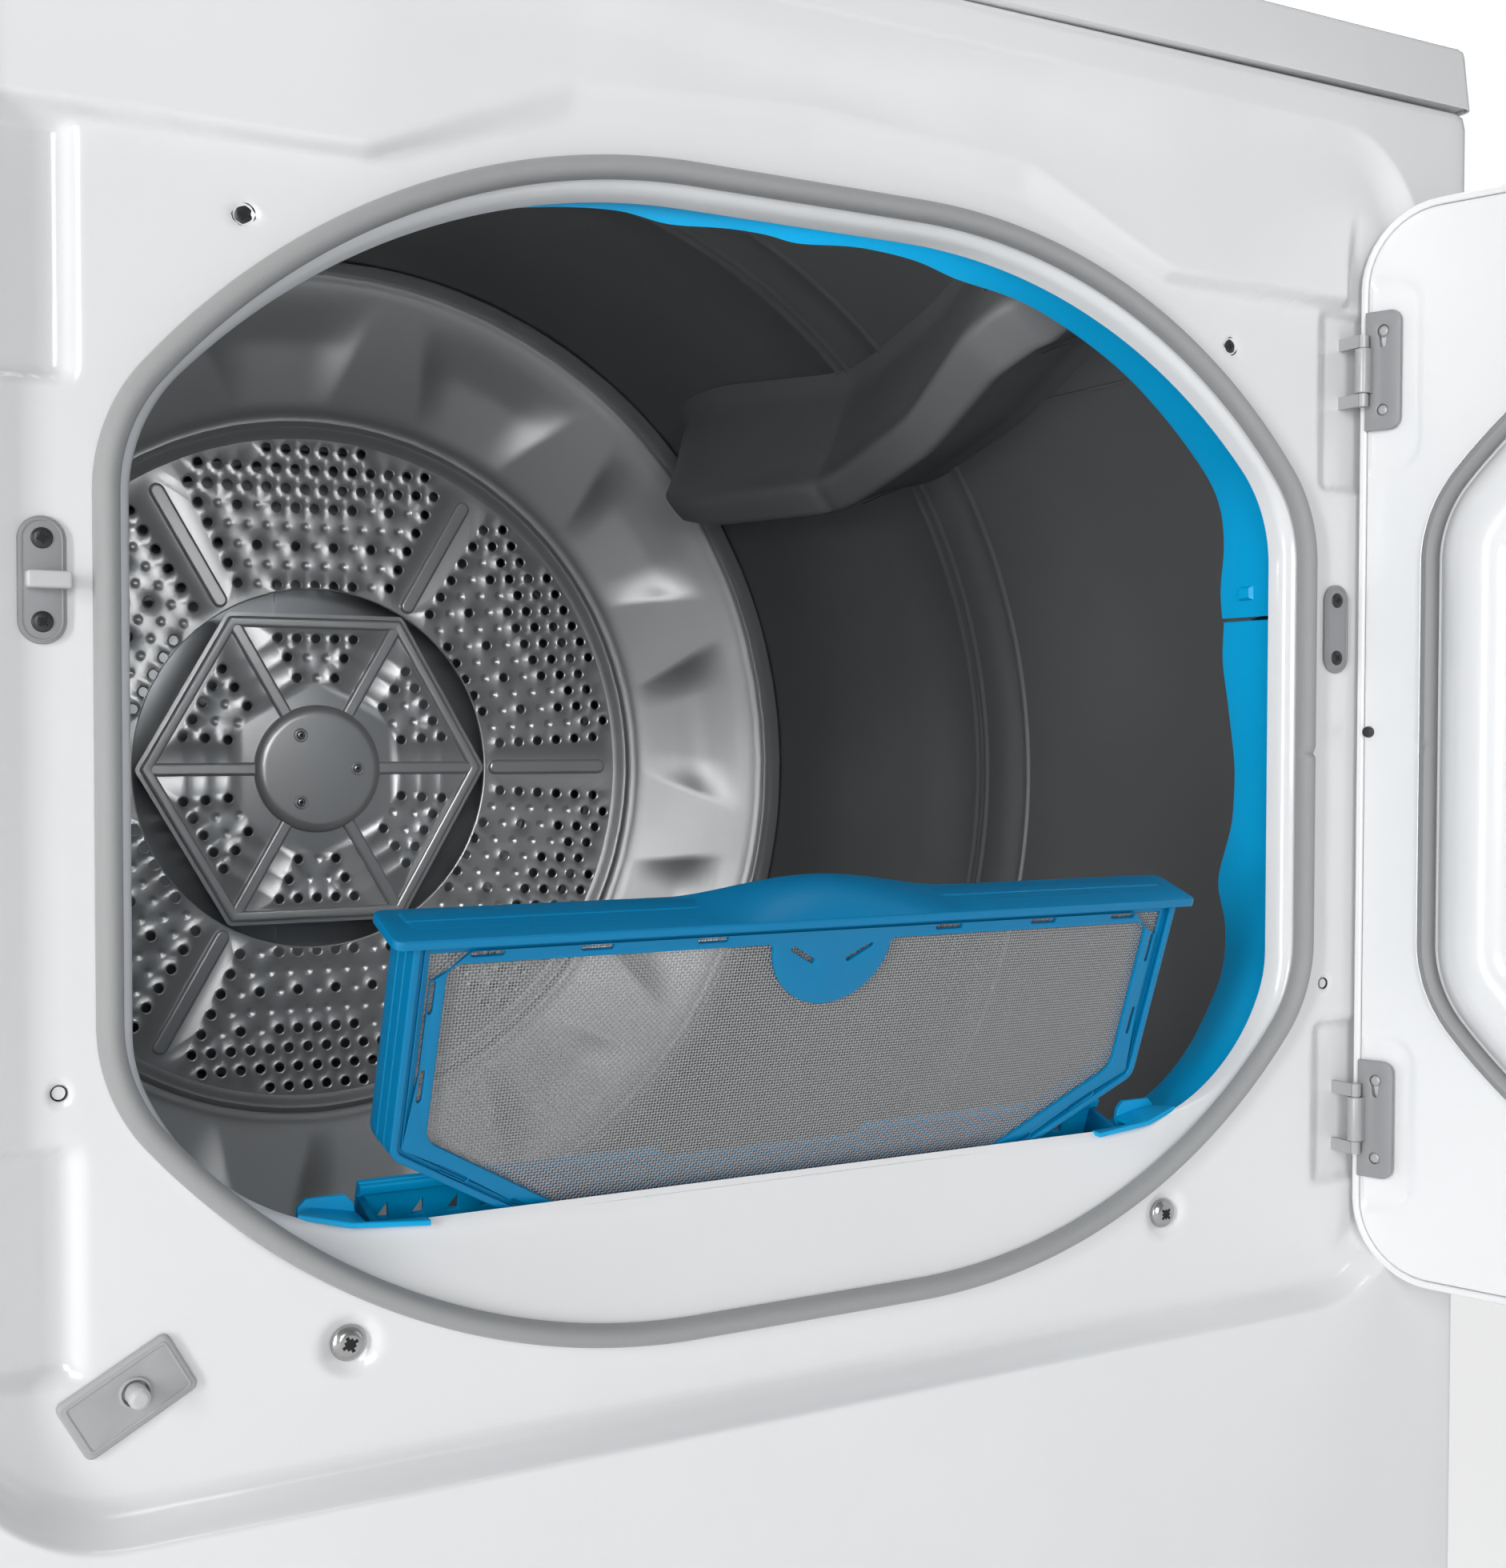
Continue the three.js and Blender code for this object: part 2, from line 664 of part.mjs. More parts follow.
function addConsole() {
  const outer = rail(consoleProfile(0), -consoleHalf, consoleHalf);
  const inner = rail(
    consoleProfile(consoleWall).map(([y, z]) => [y, z === consoleBase ? z - 1 : z]),
    -consoleHalf + consoleWall,
    consoleHalf - consoleWall,
  );
  const face = new THREE.Group();
  face.position.set(0, consoleFront + consoleLean / 2, (consoleBase + 8 + consoleHeight - 6) / 2);
  face.rotation.x = -fasciaAngle;
  face.updateMatrixWorld(true);
  dryer.add(face);
  const controls = [timerKnob, heatKnob, startKey];
  const shaftHoles = controls.map(({ x, hole }) =>
    rod(hole, -20, 20).translate(x, 0, 0).applyMatrix4(face.matrixWorld),
  );
  add("console_housing", cut(outer, inner, ...shaftHoles), white);
  const fascia = roundedRect(consoleHalf - 14, -fasciaHeight / 2, fasciaHeight / 2, 8);
  fascia.holes.push(...controls.map(({ x, hole }) => circle(x, 0, hole)));
  add("console_fascia", plate(fascia, -seamGap, fasciaThickness, 4), greyPlastic, face);
  const onFace = -fasciaThickness - 2 * seamGap;
  add("timer_knob", knob(timerKnob).translate(timerKnob.x, onFace, 0), white, face);
  add("heat_knob", knob(heatKnob).translate(heatKnob.x, onFace, 0), white, face);
  const { radius, depth } = startKey;
  const button = turned(
    [[0, -depth], [radius - 1.5, -depth], [radius, -depth + 2], [radius, depth], [0, depth]],
    24,
  );
  add("start_button", button.translate(startKey.x, onFace, 0), greyPlastic, face);
}

// ---- front opening ----
function openingGasket() {
  const foot = -seamGap;
  const half = gasketWidth / 2;
  const crown = [];
  for (let i = 0; i <= 4; i++) {
    const angle = (Math.PI * i) / 4;
    crown.push([half * Math.cos(angle), foot - gasketHeight * Math.sin(angle)]);
  }
  return loft(crown.map(([grow, depth]) => ring(gasketLine(grow), depth)), true);
}

const ringClearance = 2.8;
const ringWall = 2.4;
const ringOuter = drumLipRadius - glideRoom;
const ringRim = drumFront - 2;
const ringFlange = ringRim - 13;
const seamAngle = THREE.MathUtils.degToRad(17);
const seamSlit = 0.0012;

// How far the band behind the opening reaches back: scalloped lobes along its rear edge.
function bandRear(angle) {
  const lobes = 5.5 * Math.sin(angle * 5 + 0.6) + 3.5 * Math.sin(angle * 11 - 0.9);
  return 41 + lobes * 0.6;
}

// The angles run round the drum's axis, from one butt joint of the ring to the other.
function ringSection(angle, bottom) {
  const bandInner = rayLength(openingLine(1.2 + sheet + ringClearance), drumAxisHeight, angle);
  const front = lipDepth + 1.5 + bottom;
  const rear = bandRear(angle);
  const outline = [
    [bandInner, front],
    [bandInner + 1, rear],
    [bandInner + 1 + ringWall, rear],
    [bandInner + 1 + ringWall, ringFlange + ringWall],
    [ringOuter - ringWall, ringFlange + ringWall],
    [ringOuter - ringWall, ringRim],
    [ringOuter, ringRim],
    [ringOuter, ringFlange],
    [bandInner + ringWall, ringFlange],
    [bandInner + ringWall, front],
  ];
  return outline.map(
    ([reach, y]) =>
      new THREE.Vector3(reach * Math.cos(angle), y, drumAxisHeight + reach * Math.sin(angle)),
  );
}

function bearingRing(start, end, steps, bottom = 0) {
  const sections = [];
  for (let i = 0; i <= steps; i++) {
    sections.push(ringSection(start + ((end - start) * i) / steps, bottom));
  }
  return loftCapped(sections);
}

// Like loft, but the end caps follow the section's own outline.
function loftCapped(sections) {
  const count = sections[0].length;
  const corners = sections.flat().flatMap((p) => [p.x, p.y, p.z]);
  const faces = [];
  for (let j = 0; j < sections.length - 1; j++) {
    for (let i = 0; i < count; i++) {
      const [near, far, next] = [j * count, (j + 1) * count, (i + 1) % count];
      faces.push(near + i, near + next, far + next, near + i, far + next, far + i);
    }
  }
  const flat = sections[0].map((p) => new THREE.Vector2(Math.hypot(p.x, p.z - drumAxisHeight), p.y));
  const cap = THREE.ShapeUtils.triangulateShape(flat, []);
  const last = (sections.length - 1) * count;
  const turn = Math.sign(THREE.ShapeUtils.area(flat));
  for (const [i, j, k] of cap) {
    const same = turn * THREE.ShapeUtils.area([flat[i], flat[j], flat[k]]) > 0;
    const [a, b, c] = same ? [i, j, k] : [i, k, j];
    faces.push(c, b, a, last + a, last + b, last + c);
  }
  const geometry = new THREE.BufferGeometry();
  geometry.setAttribute("position", new THREE.Float32BufferAttribute(corners, 3));
  geometry.setIndex(faces);
  return facingOut(geometry);
}

// ---- lint filter and its slot: drawn upright, then tilted about the slot's front edge ----
const slotFront = lipDepth + 1.4; // front plane of the filter where it passes the sill
const slotLevel = openingBottom - 2;
const filterFrame = new THREE.Matrix4()
  .makeTranslation(0, slotFront, slotLevel)
  .multiply(new THREE.Matrix4().makeRotationX(filterTilt));
const filterCorner = 39; // rise of the cut lower corners
const filterCornerRun = 66;

function filterOutline(grow, drop = 0) {
  const half = filterHalfWidth + grow;
  const low = -filterHeight - grow - drop;
  return [
    [-half, 0],
    [-half, low + filterCorner],
    [-half + filterCornerRun, low],
    [half - filterCornerRun, low],
    [half, low + filterCorner],
    [half, 0],
  ];
}

function outlineShape(points) {
  return new THREE.Shape(points.map(([x, z]) => new THREE.Vector2(x, z)));
}

const spoutFront = 4; // the spout carries the air from the filter's pocket down to the duct
const spoutRear = ringFlange - 1;
const spoutFoot = 268;
const spoutHalf = 84;

const pocketWall = 2.4;

// The filter's outline grown on all sides, as a body between two depths of the tilted pocket.
function pocketBody(grow, front, back, top = 0) {
  const line = filterOutline(grow, 2).map(([x, z]) => [x, z === 0 ? top : z]);
  return plate(outlineShape(line), back, back - front).applyMatrix4(filterFrame);
}

function spoutBody(grow) {
  const low = slotLevel - filterHeight * Math.cos(filterTilt);
  const back = slotFront + filterHeight * Math.sin(filterTilt);
  const line = [
    [spoutFront, spoutFoot],
    [spoutRear + grow, spoutFoot],
    [spoutRear + grow, low - 13 - grow],
    [back - 1 + grow, low - 3 - grow],
    [back - 12, low + 31],
    [spoutFront, low + 31],
  ];
  return rail(line, -spoutHalf - grow, spoutHalf + grow);
}

function spoutChannel() {
  const wall = pocketWall;
  const low = slotLevel - filterHeight * Math.cos(filterTilt);
  const back = slotFront + filterHeight * Math.sin(filterTilt);
  const line = [
    [spoutFront + wall, spoutFoot - 1],
    [spoutRear - wall, spoutFoot - 1],
    [spoutRear - wall, low - 11],
    [back, low + 1],
    [back - 6.5, low + 22],
    [back - 19, low + 27],
    [spoutFront + wall, low + 27],
  ];
  return rail(line, -spoutHalf + wall, spoutHalf - wall);
}

// The lower part of the ring behind the opening, cut out where the filter's pocket passes through.
function lowerBearingRing() {
  const body = bearingRing(Math.PI - seamAngle + seamSlit, 2 * Math.PI + seamAngle - seamSlit, 32);
  const grow = filterClearance + pocketWall + seamGap;
  const half = filterHalfWidth + grow;
  const gap = block(-half, half, lipDepth - 4, ringRim + 10, slotLevel - 14, slotLevel + 14);
  return cut(body, pocketBody(grow, -grow, filterThickness + grow), spoutBody(seamGap), gap);
}

// The pocket's front, sides and floor, with the spout that leads the air down in front of it.
function filterHousing() {
  const room = filterClearance;
  const grow = room + pocketWall;
  const back = filterThickness + room;
  const shell = joined(pocketBody(grow, -grow, back), cut(spoutBody(0), pocketBody(grow, back, back + 40)));
  return cut(shell, pocketBody(room, -room, back + 1, 40), spoutChannel());
}

const grilleRise = 5.5; // how far the grille's top stands above the slot, except in the middle
const grilleGapHalf = 48;
const grilleColumns = 11;
const grillePitch = 24;
const grilleSlot = { half: 6, height: 24, pitch: 30, top: -14, rows: 3 };

// The pocket's back: a plate with slots that let the air out of the drum into the filter.
function filterGrille() {
  const grow = filterClearance + pocketWall;
  const shape = outlineShape(
    filterOutline(grow, 2).flatMap(([x, z]) => {
      if (z !== 0) {
        return [[x, z]];
      }
      const side = Math.sign(x);
      const raised = [[x, grilleRise], [side * grilleGapHalf, grilleRise], [side * (grilleGapHalf - 4), 0]];
      return side < 0 ? raised.reverse() : raised;
    }),
  );
  const back = filterThickness + grow;
  const { half, height, pitch, top, rows } = grilleSlot;
  const slots = [];
  for (let i = 0; i < grilleColumns; i++) {
    const x = (i - (grilleColumns - 1) / 2) * grillePitch;
    for (let j = 0; j < rows; j++) {
      const high = top - j * pitch;
      slots.push(block(x - half, x + half, back - 2 * pocketWall, back + pocketWall, high - height, high));
    }
  }
  return cut(plate(shape, back, pocketWall - seamGap), ...slots).applyMatrix4(filterFrame);
}

// The cut-cornered outline of one of the filter's layers, given its half width, foot and corner.
function filterLayer(half, top, cornerDrop, cornerX, low) {
  return [
    [-half, top],
    [-half, cornerDrop],
    [-cornerX, low],
    [cornerX, low],
    [half, cornerDrop],
    [half, top],
  ];
}

const filterBorder = 13; // width of the frame round the mesh
const filterTabRadius = 26; // the half-round thumb tab that hangs into the window
const filterFlange = 3;
function filterWindow() {
  const half = filterHalfWidth - filterBorder;
  const top = -9;
  const window = outlineShape(
    filterLayer(half, top, -filterHeight + filterCorner + 6, filterHalfWidth - filterCornerRun - 6, -filterHeight + 9),
  );
  window.absarc(0, top, filterTabRadius, 0, Math.PI, true);
  return window;
}

function filterFlangeShape() {
  const half = filterHalfWidth + 13;
  return outlineShape([
    [-half, -3],
    [half, -3],
    [half, filterThickness + 4],
    [-half, filterThickness + 4],
  ]);
}

// The swelling in the middle of the flange that fingers pull on.
function filterGrip() {
  const grip = new THREE.Shape();
  grip.moveTo(-60, 0);
  grip.quadraticCurveTo(-20, 0, -12, 4);
  grip.quadraticCurveTo(0, 8, 12, 4);
  grip.quadraticCurveTo(20, 0, 60, 0);
  return plate(grip, filterThickness + 4, filterThickness + 4, 5).translate(0, 0, filterFlange - 0.1);
}

function filterFrameBody() {
  const box = plate(outlineShape(filterOutline(0)), filterThickness, filterThickness);
  const cavityOutline = filterLayer(
    filterHalfWidth - filterWall, -3, -filterHeight + filterCorner + 1, filterHalfWidth - filterCornerRun - 1,
    -filterHeight + filterWall,
  );
  const cavity = plate(outlineShape(cavityOutline), filterThickness + 1, filterThickness - 1.2);
  const opening = plate(filterWindow(), 10, 20, 8);
  const flange = new THREE.ExtrudeGeometry(filterFlangeShape(), { depth: filterFlange, bevelEnabled: false });
  return cut(joined(box, flange, filterGrip()), cavity, opening);
}

function addFilter() {
  const lifted = new THREE.Group();
  lifted.applyMatrix4(filterFrame);
  lifted.translateZ(filterSeat + filterLift);
  dryer.add(lifted);
  add("lint_filter_frame", filterFrameBody(), blue, lifted);
  const screenOutline = filterLayer(
    filterHalfWidth - filterWall - seamGap, -3.6, -filterHeight + filterCorner + 2,
    filterHalfWidth - filterCornerRun - 2, -filterHeight + filterWall + 0.6,
  );
  const screenThickness = 0.6;
  const screen = plate(outlineShape(screenOutline), 2.2 + seamGap + screenThickness, screenThickness);
  add("lint_filter_screen", screen, greyPlastic, lifted);
}

// ---- plates and switch on the front panel ----
function stadium(width, height) {
  const radius = width / 2;
  const shape = new THREE.Shape();
  shape.absarc(0, height / 2 - radius, radius, 0, Math.PI);
  shape.absarc(0, -height / 2 + radius, radius, Math.PI, 2 * Math.PI);
  return shape;
}

const latchX = 279;
const latchZ = 636.6;
const switchX = -255;
const switchZ = 376;
const switchTurn = THREE.MathUtils.degToRad(-29);
const plungerOffset = 2.5;
const plungerRadius = 3.5;

function addFrontFittings() {
  const face = -seamGap;
  const coverPlate = plate(stadium(14.6, 40), face, 1.6).translate(latchX, 0, latchZ);
  add("cover_plate", coverPlate, greyPlastic);
  const strikePlate = plate(stadium(14.6, 40), face, 1.6);
  const tab = block(-5, 5, -7, 0, -2.6, 2.6).translate(0, face, 0);
  add("strike_plate", joined(strikePlate, tab).translate(-latchX, 0, latchZ), greyPlastic);
  const socket = new THREE.Group();
  socket.position.set(switchX, -seamGap, switchZ);
  socket.rotation.y = switchTurn;
  dryer.add(socket);
  const body = roundedRect(16.5, -8, 8, 3);
  body.holes.push(circle(plungerOffset, 0, plungerRadius + 0.5));
  add("door_switch_housing", plate(body, 0, 3.4, 6), greyPlastic, socket);
  const tip = doorPlane + 0.6 - socket.position.y;
  const plunger = turned(
    [[0, tip], [plungerRadius - 0.8, tip], [plungerRadius, tip + 0.8], [plungerRadius, -0.2], [0, -0.2]],
    16,
  );
  add("door_switch_plunger", plunger.translate(plungerOffset, 0, 0), greyPlastic, socket);
}

// ---- drum ----
function bead(place, base) {
  return [
    [base, place - 4],
    [base + beadDepth, place],
    [base, place + 4],
  ];
}

function drumShell() {
  const line = [
    [drumLipRadius, drumFront - 6],
    [drumLipRadius, drumFront - 1],
    [drumLipRadius + 2, drumFront],
    [drumRadius - 4, drumFront],
    [drumRadius, drumFront + 4],
    ...bead(frontBeadPlace, drumRadius),
    ...bead(rearBeadPlace, drumRadius),
    [drumRadius, drumRear],
  ];
  return turned(ribbon(line, -sheet), drumFacets);
}

function drumBackLine() {
  const edge = drumRadius - seamGap - sheet;
  return [
    [edge, drumRear - 18],
    [edge, drumRear - 3],
    [edge - 4, drumRear + 1],
    [edge - 11, drumRear + 2],
    [discRadius + 20, backPlane - 7],
    [discRadius + 12, backPlane - 3],
    [discRadius + 8, backPlane - 5.5],
    [discRadius + 4, backPlane - 3],
    [discRadius, backPlane],
    [coverRimRadius, backPlane],
  ];
}

// A raised bead that runs outwards along X on a face that looks towards -Y.
function ridge(from, to, width, height) {
  const half = width / 2;
  const cross = new THREE.Shape([
    new THREE.Vector2(-half, 0.5),
    new THREE.Vector2(-half * 0.45, -height),
    new THREE.Vector2(half * 0.45, -height),
    new THREE.Vector2(half, 0.5),
  ]);
  const made = new THREE.ExtrudeGeometry(cross, { depth: to - from, bevelEnabled: false });
  return made.applyMatrix4(new THREE.Matrix4().makeBasis(
    new THREE.Vector3(0, 0, -1), new THREE.Vector3(0, 1, 0), new THREE.Vector3(1, 0, 0),
  )).translate(from, 0, 0);
}

const sixths = Array.from({ length: 6 }, (_, i) => (i * Math.PI) / 3);

function drumBack() {
  const dish = turned(ribbon(drumBackLine(), -sheet), drumFacets);
  const ribs = sixths.map((angle) =>
    ridge(coverRimRadius + 4, discRadius - 8, 10, 3).rotateY(angle).translate(0, backPlane, 0),
  );
  return joined(dish, ...ribs);
}

function hexagon(radius) {
  return new THREE.Shape(sixths.map((a) => new THREE.Vector2(radius * Math.cos(a), radius * Math.sin(a))));
}

function coverPlateSolid() {
  const radius = coverRimRadius + 3;
  const face = backPlane - seamGap;
  const base = plate(hexagon(radius), face, 1.4);
  const edge = hexagon(radius - 3);
  edge.holes.push(hexagon(radius - 15));
  const rim = plate(edge, face - 1, 3.4);
  const spokes = sixths.map((angle) =>
    ridge(hubRadius - 4, radius - 8, 9, 3).rotateY(angle).translate(0, face - 1, 0),
  );
  const hub = turned([[0, -8], [hubRadius - 5, -8], [hubRadius, -5], [hubRadius, 0.5], [0, 0.5]], 28)
    .translate(0, face - 1, 0);
  return joined(base, rim, hub, ...spokes);
}

const lifterFoot = drumRadius * Math.cos(Math.PI / drumFacets) - seamGap;
const lifterHeight = 67;
const lifterCrest = drumRadius - lifterHeight;
const lifterFrontEnd = drumFront + 24;
const lifterRearEnd = drumRear - 63;

// A chevron-shaped vane on the drum wall: sections across it, from front to rear.
function lifter() {
  const steps = [
    [0, 58, 44, 51, 48, 0.25],
    [0.06, 57.5, 43, 55, 49, 1],
    [0.3, 51, 36.5, 45.5, 40.5, 1],
    [0.55, 46.5, 32, 40, 35.5, 1],
    [0.85, 49.5, 33, 41.5, 37, 1],
    [0.97, 49, 34, 42.5, 38.5, 0.85],
    [1, 47, 37, 43, 40.5, 0.2],
  ];
  const sections = steps.map(([share, high, low, crestHigh, crestLow, rise]) => {
    const y = lifterFrontEnd + (lifterRearEnd - lifterFrontEnd) * share;
    const crest = lifterFoot - (lifterFoot - lifterCrest) * rise;
    const at = (degrees, reach) => {
      const angle = THREE.MathUtils.degToRad(degrees);
      return new THREE.Vector3(reach * Math.cos(angle), y, reach * Math.sin(angle));
    };
    const middle = (high + low) / 2;
    return [at(low, lifterFoot), at(middle, lifterFoot), at(high, lifterFoot), at(crestHigh, crest),
      at(crestLow, crest)];
  });
  return loft(sections);
}

function drumShaft() {
  const flange = backPlane;
  const end = rearFace - 14;
  return turned(
    [[0, flange], [hubRadius - 3, flange], [hubRadius - 3, flange + 3], [18, flange + 5],
      [shaftRadius, flange + 8], [shaftRadius, end], [0, end]],
    20,
  );
}

const bearingRadius = 19;
function addBearing(axis) {
  const rear = rearFace - 16;
  const bore = shaftRadius + seamGap;
  add(
    "drum_bearing",
    turned([[bore, rear - 16], [bearingRadius, rear - 16], [bearingRadius, rear], [bore, rear]], 20),
    zinc,
    axis,
  );
}

// A strap across the rear of the drum, with a cup that holds the bearing.
function addBearingBracket(axis) {
  const strapHalf = 15;
  const strapReach = 150;
  const bossRadius = 30;
  const strapThickness = 2.5;
  const cupBore = bearingRadius + 0.4;
  const cupRadius = 24;
  const cupDepth = 27;
  const back = rearFace - sheet - seamGap;
  const strap = new THREE.Shape();
  strap.absarc(0, 0, bossRadius, -Math.PI / 3, Math.PI / 3);
  strap.lineTo(strapHalf, strapReach);
  strap.lineTo(-strapHalf, strapReach);
  strap.absarc(0, 0, bossRadius, Math.PI - Math.PI / 3, Math.PI + Math.PI / 3);
  strap.lineTo(-strapHalf, -strapReach);
  strap.lineTo(strapHalf, -strapReach);
  strap.holes.push(circle(0, 0, cupRadius - 3));
  const cup = turned(
    [[cupBore, back - cupDepth], [cupRadius, back - cupDepth], [cupRadius, back], [cupBore, back]],
    20,
  );
  add("bearing_bracket", joined(plate(strap, back, strapThickness, 5), cup), zinc, axis);
}

// The heater sits in a round pan between the drum's back and the rear panel.
function addHeater(axis) {
  const panOuter = 288;
  const panInner = 160;
  const front = backPlane + 10;
  const back = rearFace - sheet - seamGap;
  const line = [[panOuter + 4, front - 4], [panOuter, front], [panOuter, back], [panInner, back], [panInner, front]];
  add("heater_pan", turned(ribbon(line, sheet), 32), zinc, axis);
  const coilRadius = 214;
  const wireRadius = 6;
  const coilPlane = backPlane + 24;
  const coil = new THREE.TorusGeometry(coilRadius, wireRadius, 6, 22).rotateX(Math.PI / 2).translate(0, coilPlane, 0);
  const postHalf = 4;
  const posts = [0, 1, 2].map((i) =>
    block(
      coilRadius - postHalf, coilRadius + postHalf, coilPlane, back - sheet - seamGap, -postHalf, postHalf,
    ).rotateY((i * 2 * Math.PI) / 3),
  );
  add("heater_coil", joined(coil, ...posts), zinc, axis);
}

function addDrum() {
  const axis = new THREE.Group();
  axis.position.set(0, 0, drumAxisHeight);
  dryer.add(axis);
  add("drum_shell", drumShell(), darkCoat, axis);
  add("drum_back", drumBack(), zinc, axis);
  add("drum_cover_plate", coverPlateSolid(), zinc, axis);
  add("drum_shaft", drumShaft(), zinc, axis);
  for (let i = 0; i < 3; i++) {
    const vane = new THREE.Group();
    vane.rotation.y = (-i * 2 * Math.PI) / 3;
    axis.add(vane);
    add(`lifter_${i + 1}`, lifter(), lifterGrey, vane);
  }
  addBearing(axis);
  addBearingBracket(axis);
  addHeater(axis);
}

// Glides under the drum's front lip, on the upper half of the bearing ring.
function addGlides() {
  for (const [name, angle] of [["left", 120], ["right", 60]]) {
    const spread = THREE.MathUtils.degToRad(9);
    const middle = THREE.MathUtils.degToRad(angle);
    const inner = ringOuter + seamGap;
    const outer = drumLipRadius * Math.cos(Math.PI / drumFacets) - seamGap;
    const shape = new THREE.Shape();
    shape.absarc(0, drumAxisHeight, outer, middle - spread, middle + spread, false);
    shape.absarc(0, drumAxisHeight, inner, middle + spread, middle - spread, true);
    add(`drum_glide_${name}`, plate(shape, ringRim, ringRim - ringFlange), paleGrey);
  }
}

// ---- drive and air path ----
function tangentLoop(big, small, grow) {
  const [bx, bz, br] = big;
  const [sx, sz, sr] = small;
  const along = Math.atan2(bz - sz, bx - sx);
  const spread = Math.acos((br - sr) / Math.hypot(bx - sx, bz - sz));
  const shape = new THREE.Path();
  shape.absarc(sx, sz, sr + grow, along + Math.PI - spread, along + Math.PI + spread, false);
  shape.absarc(bx, bz, br + grow, along + Math.PI + spread, along + Math.PI - spread, false);
  return shape;
}

const beltThickness = 2;
const beltWidth = 9;
const beltStand = (drumRadius + sheet + seamGap) / Math.cos(Math.PI / drumFacets);
const drumCircle = [0, drumAxisHeight, beltStand];
const pulleyCircle = [motorX, motorZ, pulleyRadius + seamGap];
const baseFloor = footHeight + basePanWall + seamGap;

function driveBelt() {
  const steps = 17;
  const outer = new THREE.Shape(tangentLoop(drumCircle, pulleyCircle, beltThickness).getPoints(steps));
  outer.holes.push(new THREE.Path(tangentLoop(drumCircle, pulleyCircle, 0).getPoints(steps).reverse()));
  return plate(outer, beltPlace + beltWidth / 2, beltWidth);
}

const motorRadius = 66;
const motorNose = 48;
const motorFront = 150;
const motorRear = 280;
const motorBore = 9;
const motorShaft = 8.1;

function motorBody() {
  const shoulder = 12;
  return turned(
    [[motorBore, motorFront], [motorNose, motorFront], [motorRadius, motorFront + shoulder],
      [motorRadius, motorRear - shoulder], [motorNose, motorRear], [motorBore, motorRear]],
    20,
  );
}

// The rear end of the rotor: a shaft with the grooveless belt pulley on it.
function motorPulley() {
  const flange = pulleyRadius + 2.4;
  const shaftEnd = beltPlace + 14;
  return turned(
    [[0, motorRear - 4], [motorShaft, motorRear - 4], [motorShaft, beltPlace - 12], [flange, beltPlace - 10],
      [pulleyRadius, beltPlace - 6], [pulleyRadius, beltPlace + 6], [flange, beltPlace + 10],
      [motorShaft, beltPlace + 12], [motorShaft, shaftEnd], [0, shaftEnd]],
    20,
  );
}

function motorCradle() {
  const half = 74;
  const archHalf = 50;
  const endInset = 25;
  const saddle = rod((motorRadius + seamGap) / Math.cos(Math.PI / 20), motorFront, motorRear, 20);
  return cut(
    block(
      motorX - half, motorX + half, motorFront + endInset, motorRear - endInset, baseFloor, motorZ - 30,
    ),
    saddle.translate(motorX, 0, motorZ),
    block(motorX - archHalf, motorX + archHalf, motorFront, motorRear, baseFloor - 1, baseFloor + 16),
  );
}

function addMotor() {
  const motor = new THREE.Group();
  motor.position.set(motorX, 0, motorZ);
  dryer.add(motor);
  add("motor_body", motorBody(), zinc, motor);
  add("motor_pulley", motorPulley(), zinc, motor);
  add("motor_cradle", motorCradle(), zinc);
}

// Where the tensioner's wheel stands against the slack run of the belt.
const idlerRadius = 16;
const idlerShare = 0.28; // its place along the run, from the motor
function idlerPlace() {
  const big = new THREE.Vector2(drumCircle[0], drumCircle[1]);
  const small = new THREE.Vector2(pulleyCircle[0], pulleyCircle[1]);
  const apart = big.clone().sub(small);
  const along = Math.atan2(apart.y, apart.x);
  const spread = Math.acos((drumCircle[2] - pulleyCircle[2]) / apart.length());
  const outward = along + Math.PI + spread;
  const stand = beltThickness + idlerRadius + seamGap;
  const off = (reach) => new THREE.Vector2(Math.cos(outward), Math.sin(outward)).multiplyScalar(reach + stand);
  const near = small.clone().add(off(pulleyCircle[2]));
  const far = big.clone().add(off(drumCircle[2]));
  return near.lerp(far, idlerShare);
}

function idlerPulley(idler) {
  const bore = 4.4;
  const rim = idlerRadius + 2;
  const half = 7;
  const wheel = turned(
    [[bore, -half], [rim, -half], [rim, -5.5], [idlerRadius, -5], [idlerRadius, 5], [rim, 5.5], [rim, half],
      [bore, half]],
    20,
  );
  return wheel.translate(idler.x, beltPlace, idler.y);
}

function addTensioner() {
  const idler = idlerPlace();
  add("idler_pulley", idlerPulley(idler), black);
  const pivot = new THREE.Vector2(idler.x + 20, 66);
  const pinRadius = 4;
  const armBack = beltPlace + 12;
  const armShape = new THREE.Shape();
  const lean = Math.atan2(idler.y - pivot.y, idler.x - pivot.x);
  armShape.absarc(pivot.x, pivot.y, 10, lean + Math.PI / 2, lean + Math.PI * 1.5, false);
  armShape.absarc(idler.x, idler.y, 9, lean - Math.PI / 2, lean + Math.PI / 2, false);
  armShape.holes.push(circle(pivot.x, pivot.y, pinRadius + 0.4));
  const pin = rod(pinRadius, beltPlace - 9, armBack - 2, 12).translate(idler.x, 0, idler.y);
  add("idler_arm", joined(plate(armShape, armBack, 3, 6), pin), zinc);
  const front = armBack + seamGap;
  const bracket = joined(
    block(pivot.x - 20, pivot.x + 20, front, armBack + 30, baseFloor, baseFloor + 2),
    block(pivot.x - 12, pivot.x + 12, front, armBack + 3, baseFloor, pivot.y + 12),
    rod(pinRadius, armBack - 5, armBack + 2, 12).translate(pivot.x, 0, pivot.y),
  );
  add("idler_bracket", bracket, zinc);
}

